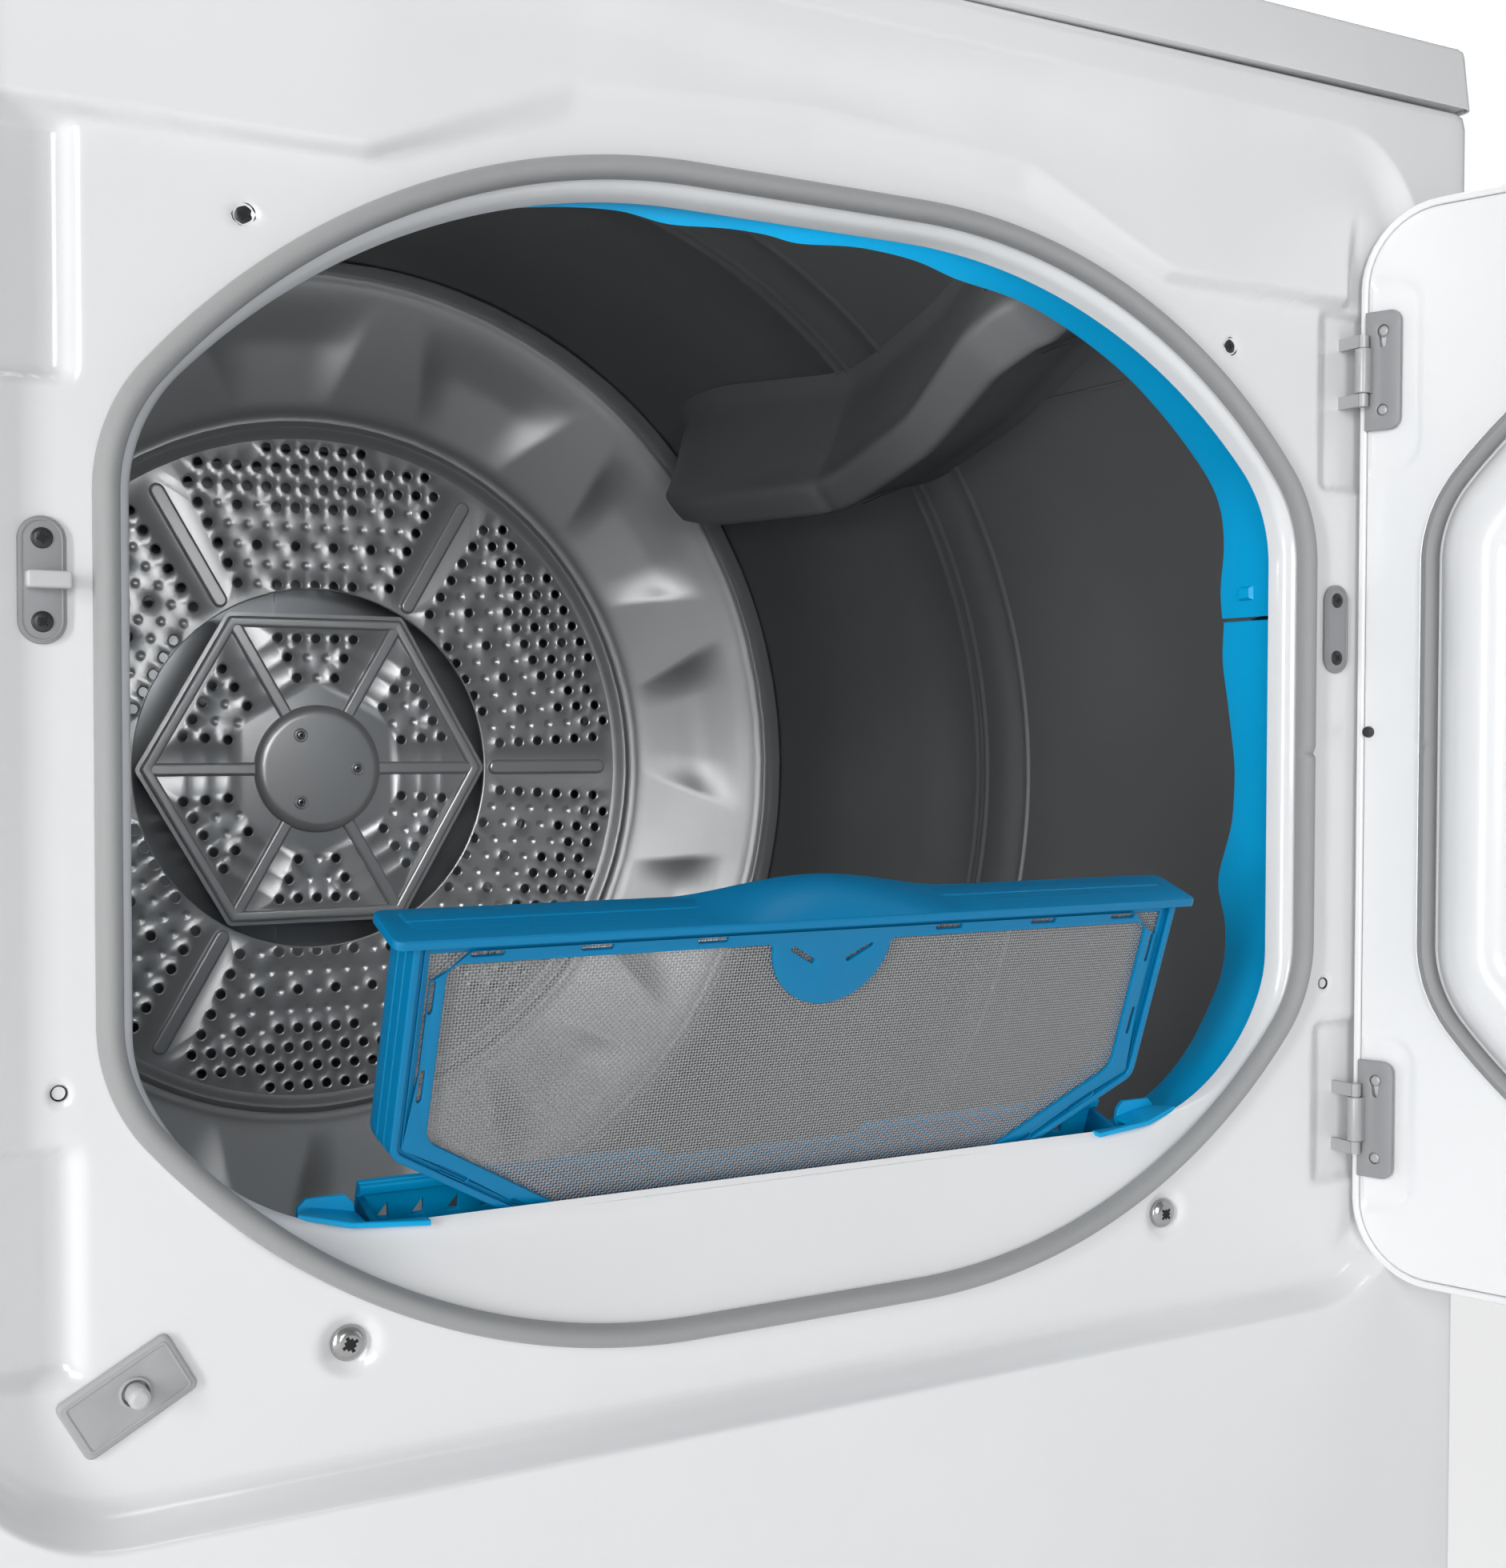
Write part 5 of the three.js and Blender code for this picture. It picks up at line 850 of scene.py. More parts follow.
def ringPart(piece, start, end, whole=True):
    # a length of the ring behind the opening: its band, its flange and the rim the drum runs on
    count = max(int(abs(end - start) / 0.9), 4)
    angles = np.radians(np.linspace(start, end, count))
    wrapped = np.arctan2(np.sin(angles), np.cos(angles))
    reach = rayReach(openingLine(band["gap"]), wrapped, drum["axis"])
    rear = np.interp(np.degrees(wrapped), bandRear[:, 0], bandRear[:, 1])
    rear = np.convolve(np.pad(rear, 2, mode="edge"), [0.15, 0.2, 0.3, 0.2, 0.15], mode="valid")
    wall, outer, front, flange, rim = [band[key] for key in ("wall", "outer", "front", "flange", "rim")]
    rows = []
    for angle, near, back in zip(angles, reach, rear):
        if whole:
            line = [(near + wall, front + 0.3), (near + wall - 0.4, front), (near + 0.7, front),
                    (near + 0.15, front + 0.35), (near, front + 1.0), (near + 0.3, front + 9),
                    (near + 0.6, (front + back) / 2 + 3), (near + 0.9, back - 1.2), (near + 1.1, back - 0.35),
                    (near + 1.6, back), (near + 2.7, back), (near + 3.2, back - 0.4), (near + 3.4, back - 1.2),
                    (near + 3.4, flange + wall + 0.8), (near + 4.2, flange + wall)]
        else:
            near = min(band["cutHalf"] / max(abs(math.cos(angle)), 0.2), outer - 9.5)
            line = [(near, flange), (near, flange + wall)]
        line += [(outer - wall - 0.8, flange + wall), (outer - wall, flange + wall + 0.8), (outer - wall, rim - 0.3),
                 (outer - wall + 0.3, rim), (outer - 0.3, rim), (outer, rim - 0.3), (outer, flange + 0.8),
                 (outer - 0.8, flange)]
        if whole:
            line += [(near + wall + 0.8, flange), (near + wall, flange - 0.8)]
        radii, depths = np.array(line).T
        rows.append(around(radii, angle, depths))
    piece.capped(np.stack(rows))


upperRing, lowerRing = Piece(), Piece()
ringPart(upperRing, band["seam"] + band["slit"], 180 - band["seam"] - band["slit"])
for side in (-1, 1):
    # a clip bump just above each butt joint
    corners = [(-1, -1), (1, -1), (1, 1), (-1, 1)]
    rows = [[(side * (254.9 - out), 31.0 + along * deep, drum["axis"] + 90.0 + up * tall) for along, up in corners]
            for out, deep, tall in [(0, 4.5, 3.2), (1.8, 3.2, 2.2)]]
    upperRing.capped(np.array(rows))
upperRing.make("upperRing", "ringBlue", slot="blue_plastic", smooth=48, replaces=["upper_bearing_ring"])
ringPart(lowerRing, -41.2, band["seam"] - band["slit"])
ringPart(lowerRing, 180 - band["seam"] + band["slit"], 221.2)
ringPart(lowerRing, 221.2, 318.8, whole=False)
lowerRing.make("lowerRing", "ringBlue", slot="blue_plastic", smooth=48, replaces=["lower_bearing_ring"])
print("bearing ring in two parts")


def flatSlab(outline, low, high, bevel=0.5):
    # a plate lying level: its outline is in x and y, and its top edges are rounded
    points, faces = slab(outline, [], -high, -low, bevel)
    return points[:, [0, 2, 1]] * [1, 1, -1], faces


def pocketTabs():
    # the lugs of the pocket that rest on the sill beside the slot
    tabs, inner = Piece(), 172  # the lowered filter passes inside this
    lug = [(150, 6.5), (178, 7.5), (196, 11.0), (190, 20.0), (181, 22.5), (inner, 22.5), (inner, 11.4), (150, 11.4)]
    lugPoints, lugFaces = flatSlab(lug, 0.0, 1.8, 0.6)
    lugPoints[:, 2] += 416.5 + 0.22 * np.maximum(lugPoints[:, 0] - 168, 0) + 0.1 * (lugPoints[:, 1] - 8)
    # an upright wall behind the lug, and a spur that ties them together
    wall = [(inner, 398), (193, 404), (193, 424), (190, 427), (176, 427), (173, 424), (inner, 418.5)]
    spur = softBox(inner, 180, 398, 414, 1.5, 3)
    for side in (-1, 1):
        for points, faces in [(lugPoints, lugFaces), slab(wall, [], 22.0, 24.0, 0.5), slab(spur, [], 12.0, 22.0, 0.6)]:
            tabs.add(points * [side, 1, 1], faces)
    tabs.make("pocketTabs", "ringBlue", slot="blue_plastic", smooth=40)


pocketTabs()


def grillePlate():
    # the pocket's back: slots for the air, and a row of pointed teeth under its raised top
    half, low, corner = 168.2, -125.2, 39.0
    outline = np.array([(-half, low + corner), (-half + 66, low), (half - 66, low), (half, low + corner), (half, 5.5),
                        (48, 5.5), (44, 0), (-44, 0), (-48, 5.5), (-half, 5.5)])
    holes = []
    for i in range(11):
        for j in range(3):
            middle, top = (i - 5) * 24.0, -14.0 - 30 * j
            if j == 2 and abs(middle) > 105:
                continue
            holes.append(softBox(middle - 6, middle + 6, top - 24, top, 2.0, 3))
    # teeth: small three-cornered openings between the slots and the top
    holes += [np.array([(x - 2.6, -10.5), (x + 2.6, -10.5), (x + 1.6, -3.5)]) for x in np.arange(-158, 159, 13.4)]
    plate = Piece().add(*slab(outline, holes, 20.8, 23.0, 0.3))
    # rounded top edge with a stepped lip in front
    for side in (-1, 1):
        lip = np.array([(48 * side, 1.5), (half * side, 1.5), (half * side, 5.2), (50 * side, 5.2)])
        plate.add(*slab(lip if side > 0 else lip[::-1], [], 18.6, 20.9, 0.5))
    plate.make("grillePlate", "ringBlue", slot="blue_plastic", smooth=40, replaces=["filter_grille"], place=pocketPlace)


grillePlate()
print("pocket and grille moulded")

screen = dict(half=166.0, window=153.0, top=-8.0, low=-111.0, chamferX=95.0, chamferZ=-76.0, tab=26.0, flange=174.0)


def filterOutline(inset):
    corners = [(-screen["half"], 2.6), (-screen["half"], -81), (-99.5, -120.5), (99.5, -120.5), (screen["half"], -81),
               (screen["half"], 2.6)]
    return roundedCorners(corners, inset, [2, 7, 7, 7, 7, 2], 5)


def filterFrame():
    piece = Piece()
    # rim, then the retainer with its slots, then the walls
    piece.add(*slab(filterOutline(0.0), [filterOutline(2.8)], 0.0, 2.2, 0.6))
    piece.add(*slab(filterOutline(1.6), [filterOutline(6.5)], 1.8, 2.6, 0.1))
    # the window, with a half-round tab hanging into it from the top
    w, tab = screen, screen["tab"]
    corners = [(w["window"], w["top"]), (tab, w["top"]), *arc(0, w["top"], tab, -8, -172, 22), (-tab, w["top"]),
               (-w["window"], w["top"]), (-w["window"], w["chamferZ"]), (-w["chamferX"], w["low"]),
               (w["chamferX"], w["low"]), (w["window"], w["chamferZ"])]
    window = roundedCorners(corners, 0, [5, 2] + [20] * 22 + [2, 5, 8, 6, 6, 8], 4)
    slot = roundBar(-6.4, 6.4, 1.0, 5)
    slots = [spun(slot, side * turn) + [side * x, z] for side in (-1, 1) for x, z, turn in
             [(139, -4.6, 0), (98, -4.6, 0), (52, -4.6, 0), (157.4, -20, 90), (157.4, -54, 90), (141, -90.6, 30.4),
              (12.5, -13.0, 30), (112, -107.6, 30.4)]]
    piece.add(*slab(filterOutline(4.2), [window] + slots, 0.7, 2.5, 0.35))
    # the side walls lean out a little towards the back, in three shallow steps
    section = [(-0.9, 1.2), (0.0, 1.5), (0.15, 6.4), (0.45, 6.7), (0.6, 12.4), (0.9, 12.7), (1.1, 19.4), (0.9, 19.9),
               (-1.0, 20.0), (-1.4, 19.4), (-2.4, 2.4)]
    piece.sheet(swept(filterOutline(0.0), section))
    # a narrow flange round the top, swelling in the middle where fingers lift it
    piece.add(*flatSlab(softBox(-screen["flange"], screen["flange"], -3, 24, 4, 5), 0.0, 3.0, 0.8))
    gridX, gridY = np.meshgrid(np.linspace(-64, 64, 49), np.linspace(-2.2, 23.4, 13))
    swell = np.cos(np.clip(gridX / 62, -1, 1) * math.pi / 2) ** 1.6
    height = 2.9 + 7.6 * swell * np.sin(np.clip((gridY + 2.2) / 25.6, 0, 1) * math.pi * 0.62) ** 0.9
    rows = np.stack([gridX, gridY, height], -1)
    piece.sheet(rows, closed=False)
    piece.sheet(np.stack([rows[-1], rows[-1] * [1, 1, 0] + [0, 0.2, 2.0]]), closed=False)
    piece.make("filterFrame", "bluePlastic", body="lint_filter", slot="blue_plastic", smooth=40,
               replaces=["lint_filter_frame"], place=filterPlace)


def filterCloth():
    outer = filterOutline(2.6)
    Piece().add(laid(outer, 2.9), [list(range(len(outer)))]).make(
        "filterCloth", "screenCloth", body="lint_filter", slot="steel_mesh", smooth=0, replaces=["lint_filter_screen"],
        place=filterPlace, tidy=False)


filterFrame()
filterCloth()
print("lint filter made")


def upright(radius, low, high, x, y, count=28, soften=0.4):
    # a standing pin or barrel, from lines of [radius, z]
    line = rounded([(0.0, low), (radius, low), (radius, high), (0.0, high)], soften, 4)
    return lathe(line, count, x, y)[..., [0, 2, 1]], gridFaces(len(line), count)


def doorEdge(inset):
    return roundRect(door["half"] - inset, door["low"] + inset, door["high"] - inset, max(door["corner"] - inset, 1.0))


def doorRows(steps, turns):
    # closed rings round the door, each with its reach and its height off the door's plane
    rows = np.stack([ringOf(reach, turns, out) for reach, out in steps])
    return rows * [1, -1, 1] + [0, door["plane"], 0]


def hingeRelief(x, z):
    # U-shaped pressed seats round the two hinge leaves
    seat, reach = 0.0, 12.0
    for low, high in [(708.0, 793.0), (373.0, 452.0)]:
        dx = np.maximum((262.0 + reach) - x, 0)
        dz = np.maximum(np.maximum((low + reach) - z, z - (high - reach)), 0)
        away = np.hypot(dx, dz) - reach
        seat = seat + step(away, 1.6, -1.6)
    inner = step(x, 266.0, 269.0) * step(z, 387.5, 389.5) * step(z, 440.0, 438.0)
    return 1.5 * seat + 0.7 * inner


def doorPanels():
    lines = resample(doorEdge(4), 1600) - [0, centreZ]
    turns = np.sort(np.arctan2(lines[:, 1], lines[:, 0])[::2])

    def edgeReach(inset):
        return rayReach(doorEdge(inset), turns)

    # the edge, the flat land with its hinge seats, then inwards from the seal's line: a channel and a raised bulge
    edge = [(3.5, 2.2), (3.6, 0.9), (3.9, 0.35), (4.4, 0.08), (5.2, hingeRelief)]
    bulge = [(-1.6, 0.0), (-1.1, 0.15), (-0.9, 1.4), (-0.5, 1.9), (0.2, 2.0), (7.0, 2.0), (7.6, 1.9), (8.2, 1.0),
             (8.8, -0.4), (12.5, -6.6), (17.0, -11.4), (20.5, -13.9), (24.0, -15.0), (29.0, -15.6), (34.0, -15.2),
             (39.0, -13.0), (44.0, -9.0), (48.0, -2.0), (51.0, 5.6), (54.5, 13.6), (58.0, 18.4), (63.0, 20.6),
             (70.0, 21.4)]
    near, far, last = edgeReach(5.2), rayReach(gasketLine(1.6), turns), rayReach(gasketLine(-70), turns)
    steps = [(edgeReach(inset), out) for inset, out in edge]
    steps += [(near + (far - near) * share, hingeRelief) for share in np.linspace(0, 1, 26)[1:-1]]
    steps += [(rayReach(gasketLine(-inset), turns), out) for inset, out in bulge]
    steps += [(last * share, 21.4 + 1.2 * (1 - share)) for share in (0.85, 0.6, 0.35, 0.12, 0.004)]
    Piece().sheet(doorRows(steps, turns), turned=True).make(
        "doorInner", "doorEnamel", body="door", smooth=44, replaces=["door_inner_panel"], place=doorPlace, tidy=False)
    # the outer skin wraps its hem over the inner panel's edge and rises to a flat middle
    turns, middle = turns[::2], 34.0
    skin = [(3.3, 1.5), (3.25, 0.5), (3.0, 0.12), (2.4, -0.05), (0.9, -0.05), (0.35, 0.15), (0.05, 0.6), (0.0, 1.6),
            (1.2, 2.6), (4.0, 3.9), (9.0, 5.6), (15.0, 9.0), (22.0, 13.6), (30.0, 18.2), (38.0, 22.0), (46.0, 25.0),
            (60.0, 28.9), (76.0, 31.6), (92.0, 33.2), (110.0, middle)]
    steps = [(edgeReach(inset), out) for inset, out in skin]
    steps += [(steps[-1][0] * share, middle) for share in (0.7, 0.4, 0.15, 0.004)]
    Piece().sheet(doorRows(steps, turns)).make(
        "doorSkin", "doorEnamel", body="door", smooth=44, replaces=["door_outer_skin"], place=doorPlace, tidy=False)


doorPanels()


def doorSeal():
    line = resample(gasketLine(-3.2), 800)
    section = [(-3.4, -14.6), (-3.5, -12.4), (-2.9, -10.6), (-1.6, -9.0), (0.0, -8.4), (1.6, -9.0), (2.9, -10.6),
               (3.5, -12.4), (3.4, -14.6)]
    rows = swept(line, section)
    # its ends butt together beside the hinges
    seam = np.exp(-(line[:, 1] - 583.0) ** 2) * (line[:, 0] > 0)
    rows[1:-1, :, 1] -= 2.4 * seam
    Piece().sheet(rows).make("doorSeal", "sealRubber", body="door", slot="gasket_foam", replaces=["door_seal"],
                             place=doorPlace)


doorSeal()


def hingeLeaf(name, replaced, middle):
    leaf, pinX, face = Piece(), door["hingeX"], -12.9
    low, high, near, far = middle - 26.7, middle + 26.7, pinX - 16.0, pinX + 0.6
    outline = softBox(near, far, low, high, [5.0, 0.6, 0.6, 5.0], 6)
    keyX, keyZ = near + 8.2, high - 9.0
    keyhole = np.concatenate([arc(keyX, keyZ, 2.7, -50, 230, 14), arc(keyX, keyZ - 6.2, 1.3, 180, 360, 7)])
    lower = circle(keyX, low + 9.0, 2.6, 14)
    points, faces = slab(outline, [keyhole, lower], -1.5, 0.0, 0.45)
    leaf.add(points * [1, -1, 1] + [0, face, 0], faces)
    # a screw sits in the round part of each hole
    for z in (keyZ, low + 9.0):
        screw = Piece()
        screwHead(screw, keyX, z, -0.4, 2.35, 1, 2, dome=0.7)
        leaf.add(np.concatenate(screw.points) * [1, -1, 1] + [0, face, 0], screw.faces, 1)
    # the barrel round the pin, and the web that joins it to the leaf
    leaf.add(*upright(3.5, middle - 10.0, middle + 10.0, pinX, door["hingeY"]), 1)
    web = softBox(pinX - 3.5, pinX + 0.5, middle - 10, middle + 10, 0.5, 3)
    leaf.add(*slab(web, [], -12.8, door["hingeY"], 0.2), 1)
    leaf.make(name, ["greyPlate", "paleSteel"], body="door", slot="grey_plastic", smooth=36, replaces=[replaced],
              place=doorPlace)


hingeLeaf("hingeLeafUpper", "door_hinge_leaf_upper", door["middle"] + door["spread"])
hingeLeaf("hingeLeafLower", "door_hinge_leaf_lower", door["middle"] - door["spread"])


def bumperStud():
    # a small dark stop between the hinges
    line = rounded([(0.0, -10.6), (2.3, -10.6), (2.6, -12.4), (2.6, -13.2)], 0.5, 4)
    Piece().add(*turned(line, 24, 284.0, 590.0)).make(
        "bumperStud", "blackPlastic", body="door", slot="grey_plastic", place=doorPlace)


bumperStud()
print("door hung")


fittings = dict(plateX=279.0, plateZ=636.6, plateHalf=7.3, plateLong=20.0, screwOff=13.0, switchX=-255.0, switchZ=376.0,
                switchTurn=29.0)


def longPlate(name, side, replaced):
    plate = Piece()
    x, z, half, long = side * fittings["plateX"], fittings["plateZ"], fittings["plateHalf"], fittings["plateLong"]

    def pill(inset):
        r, reach = half - inset, long - half
        return np.concatenate([arc(x, z + reach, r, 0, 180, 20), arc(x, z - reach, r, 180, 360, 20)])

    plate.add(*slab(pill(0.0), [], -1.5, -0.2, 0.5))
    plate.add(*slab(pill(0.9), [pill(1.5)], -1.85, -1.3, 0.15))
    for off in (-fittings["screwOff"], fittings["screwOff"]):
        screwHead(plate, x, z + off, -1.5, 3.4, 1, 2, dome=0.9, turn=12 if off > 0 else 50)
    if side < 0:
        # the catch's tongue stands forward across the plate
        plate.add(*slab(softBox(x - 5.2, x + 8.3, z - 2.7, z + 2.7), [], -6.8, -1.2, 0.9), 3)
    plate.make(name, ["greyPlate", "darkScrew", "shadowGap", "greyPlastic"], slot="grey_plastic", smooth=36,
               replaces=[replaced])


longPlate("coverStrip", 1, "cover_plate")
longPlate("strikeStrip", -1, "strike_plate")


def switchPlace(points):
    # the switch is drawn level about its middle, then turned in the panel's plane
    return spun(points, fittings["switchTurn"], 0, 2) + [fittings["switchX"], 0, fittings["switchZ"]]


def doorSwitch():
    def box(halfX, halfZ, corner):
        return softBox(-halfX, halfX, -halfZ, halfZ, corner, 5)

    house, x = Piece(), 2.5  # the button stands a little off the middle
    house.add(*slab(box(20.0, 11.0, 2.6), [circle(x, 0, 3.9, 32)], -2.4, -0.3, 1.2))
    house.add(*slab(box(18.2, 9.2, 1.6), [box(17.4, 8.4, 1.2)], -2.75, -2.2, 0.15))
    house.add(*turned(rounded([(5.4, -2.3), (5.2, -3.3), (4.4, -3.4), (4.2, -2.2)], 0.3), 36, x, 0))
    house.make("switchHouse", "switchPlastic", slot="grey_plastic", smooth=36, replaces=["door_switch_housing"],
               place=switchPlace)
    button = rounded([(0.0, -10.8), (2.3, -10.8), (3.5, -9.4), (3.5, -2.0)], 0.4, 4)
    Piece().add(*turned(button, 36, x, 0)).make(
        "switchButton", "greyPlastic", body="switch_plunger", slot="grey_plastic", smooth=36,
        replaces=["door_switch_plunger"], place=switchPlace)


doorSwitch()


def panelScrews():
    screws = Piece()
    collar = rounded([(4.3, 1.3), (4.1, 0.7), (3.7, 0.6), (3.4, 1.6)], 0.2)
    hole = rounded([(2.6, 0.7), (2.1, 1.1), (2.0, 2.2), (0.0, 2.2)], 0.2)
    for side in (-1, 1):
        # sunk screws above, pan heads in the wide dimples below, and an empty hole at each side, shown as a shallow cup
        # of near-black painted shade
        (sunkX, sunkZ), (panX, panZ), (holeX, holeZ) = seats["sunk"], seats["pan"], seats["hole"]
        screws.add(*turned(collar, 32, side * sunkX, sunkZ), 0)
        screwHead(screws, side * sunkX, sunkZ, 1.9, 3.7, 0, 2, dome=0.9, turn=15 * side)
        screwHead(screws, side * panX, panZ, 2.6, 6.4, 1, 2, dome=3.0, turn=35 + 10 * side, square=0.26)
        screws.add(*turned(hole, 28, side * holeX, holeZ), 2)
    screws.make("panelScrews", ["darkScrew", "brightScrew", "shadowGap"], slot="zinc_steel", smooth=36)


panelScrews()
print("plates, switch and screws on")


top = dict(half=344.5, front=-19.5, rear=696.8, low=875.2, high=965.0, slopeEnd=72.0, edge=5.0, sheet=1.0, hem=16.0)
console = dict(half=342.0, front=585.0, rear=694.0, base=964.2, high=1118.0, lean=42.0, faceY=606.0, faceZ=1042.05,
               angle=16.71)
controls = dict(timerX=170.0, timerRadius=28.0, heatX=40.0, heatRadius=19.0, startX=270.0, startRadius=12.0)


def prism(profile, half, edge, radius, closed=True):
    # a profile of [y, z] carried across the cabinet, with rounded ends and a level underside
    rows, low = [], min(z for y, z in profile)
    for share, inset in [(0.0, 1.0), (0.07, 0.62), (0.3, 0.28), (0.62, 0.07), (1.0, 0.0)]:
        lowered = [(y, z - edge * inset * (z == low)) for y, z in profile]
        outline = roundedCorners(lowered, edge * inset, radius, 6)
        rows.append(np.insert(outline, 0, half - edge * share, axis=1))
    rows += [row * [-1, 1, 1] for row in rows[::-1]]
    return Piece().capped(np.stack(rows), closed)


def topCover():
    t = top
    # an open pressing: its profile starts and ends at the lower edge
    profile = [(t["rear"], t["low"]), (t["rear"], t["high"]), (81.0, t["high"]), (t["slopeEnd"], 962.0), (-7.0, 907.4),
               (-15.6, 903.4), (t["front"], t["low"])]
    cover = prism(profile, t["half"], t["edge"], [0.3, 6.0, 30.0, 14.0, 8.0, 5.0, 0.3], closed=False)
    # a hem turned in under the front lip
    ends = t["half"] - t["edge"] - 1.5
    hem = [[(x, t["front"] + y, t["low"]) for y in (0.3, t["hem"])] for x in (-ends, ends)]
    cover.sheet(np.array(hem), closed=False)
    pressed = cover.make("topCover", "whiteEnamel", smooth=34, replaces=["top_cover"])
    wall = pressed.modifiers.new("sheetThickness", "SOLIDIFY")
    wall.thickness, wall.offset = t["sheet"] / 1000, -1.0


topCover()


def facePlace(points):
    # the control face leans back; out of it is minus y
    return spun(points, -console["angle"], 1, 2) + [0, console["faceY"], console["faceZ"]]


def consoleBody():
    c, face = console, console["front"] + console["lean"]
    profile = [(c["front"], c["base"]), (c["rear"], c["base"]), (c["rear"], c["high"] - 8), (c["rear"] - 8, c["high"]),
               (face + 8, c["high"]), (face, c["high"] - 6), (c["front"], c["base"] + 8)]
    prism(profile, c["half"], 7.0, [1.0, 1.0, 7.0, 7.0, 7.0, 7.0, 4.0]).make(
        "consoleBody", "whiteEnamel", smooth=34, replaces=["console_housing"])


consoleBody()


def controlFace():
    face = Piece().add(*slab(roundRect(328.0, -58.6, 58.6, 9.0, 10), [], -1.9, -0.3, 0.6))
    # a fine raised line round the plate
    border = roundRect(321.0, -51.6, 51.6, 6.0, 8), roundRect(319.8, -50.4, 50.4, 5.0, 8)
    face.add(*slab(border[0], [border[1]], -2.15, -1.8, 0.1), 1)
    # marks round the two dials, some of them longer
    for x, radius, first, pitch, count, every in [(controls["timerX"], 33.0, 270, 15, 24, 6),
                                                  (controls["heatX"], 24.0, 210, 30, 9, 4)]:
        for i in range(count):
            end = radius + (3.0 if i % every else 5.5)
            bar = [(radius, -0.45), (end, -0.45), (end, 0.45), (radius, 0.45)]
            face.add(*slab(spun(bar, first - pitch * i) + [x, 0], [], -2.05, -1.8, 0.05), 2)
    rings = [circle(controls["startX"], 0, radius, 48) for radius in (16.5, 15.3)]
    face.add(*slab(rings[0], [rings[1]], -2.1, -1.8, 0.1), 2)
    face.make("controlFace", ["consoleGrey", "greyPlastic", "dialInk"], slot="grey_plastic", smooth=34,
              replaces=["console_fascia"], place=facePlace)


controlFace()


def dialKnob(name, x, radius, depth, body, replaced):
    knob, ribs, base = Piece(), 36, -2.2
    top = base - depth
    line = rounded([(0.0, top), (radius * 0.72, top), (radius * 0.83, top + 2.6),
                    (radius * 0.87, base - 5.6), (radius * 0.93, base - 4.8), (radius, base - 3.6), (radius, base),
                    (0.0, base)], 1.4, 5)
    angles = np.linspace(0, 2 * math.pi, ribs * 6, endpoint=False)
    rows = []
    for r, y in line:
        # fine flutes on the upright part of the grip
        flute = 0.022 * radius * float(step(y, top + 0.8, top + 3.0)) * float(step(y, base - 4.6, base - 6.0))
        reach = r - flute * (0.5 - 0.5 * np.cos(angles * ribs)) * (r > radius * 0.5)
        rows.append(around(reach, angles, y, x, 0.0))
    knob.sheet(np.stack(rows))
    # a straight grip across it, with a pointer line
    grip = softBox(x - 2.6, x + 2.6, -radius * 0.7, radius * 0.7, 2.4, 5)
    knob.add(*slab(grip, [], top - 2.8, top + 1, 0.9))
    mark = softBox(x - 0.7, x + 0.7, radius * 0.3, radius * 0.64, 0.5, 3)
    knob.add(*slab(mark, [], top - 2.95, top - 2.6, 0.05), 1)
    knob.make(name, ["knobWhite", "dialInk"], body=body, slot="white_enamel", smooth=34, replaces=[replaced],
              place=facePlace)


dialKnob("timerKnob", controls["timerX"], controls["timerRadius"], 20.0, "timer_dial", "timer_knob")
dialKnob("heatKnob", controls["heatX"], controls["heatRadius"], 16.0, "heat_dial", "heat_knob")


def startKey():
    x, radius = controls["startX"], controls["startRadius"]
    line = rounded([(0.0, -9.2), (radius * 0.55, -9.4), (radius - 1.4, -10.2), (radius, -8.4), (radius, 2.0)], 1.0, 5)
    key = Piece().add(*turned(line, 64, x, 0.0))
    key.add(*slab(circle(x, 0, 3.2, 28), [circle(x, 0, 2.4, 28)], -9.55, -9.1, 0.08), 1)
    key.make("startKey", ["greyPlastic", "dialInk"], body="start_key", slot="grey_plastic", smooth=34,
             replaces=["start_button"], place=facePlace)


startKey()
print("top cover and console done")


# finishes for the solids that keep their own shape
kept = {
    "whiteEnamel": ["front_panel", "side_panel_left", "side_panel_right", "top_cover", "console_housing"],
    "doorEnamel": ["door_outer_skin", "door_inner_panel"],
    "greyPlate": ["cover_plate", "strike_plate", "door_hinge_leaf_upper", "door_hinge_leaf_lower",
                  "door_switch_housing"],
    "paleSteel": ["hinge_bracket_upper", "hinge_bracket_lower"],
    "greyPlastic": ["door_switch_plunger", "door_catch", "console_fascia", "start_button"],
    "blackPlastic": ["timer_knob", "heat_knob", "foot_front_left", "foot_front_right", "foot_rear_left",
                     "foot_rear_right", "cord_inlet_bush", "drum_glide_left", "drum_glide_right", "motor_pulley",
                     "idler_pulley", "door_seal"],
    "bluePlastic": ["upper_bearing_ring", "lower_bearing_ring", "filter_housing", "filter_grille", "lint_filter_frame"],
    "gasketFelt": ["opening_gasket"],
    "beltRubber": ["drive_belt"],
    "drumCoat": ["drum_shell", "drum_back"],
    "discSteel": ["drum_cover_plate"],
    "lifterPlastic": ["lifter_1", "lifter_2", "lifter_3"],
    "zincSteel": ["rear_panel", "base_pan", "drum_shaft", "drum_bearing", "bearing_bracket", "heater_pan",
                  "heater_coil", "motor_body", "motor_cradle", "idler_arm", "idler_bracket", "blower_wheel",
                  "blower_housing", "blower_foot", "exhaust_duct", "lint_duct"],
    "screenCloth": ["lint_filter_screen"],
}

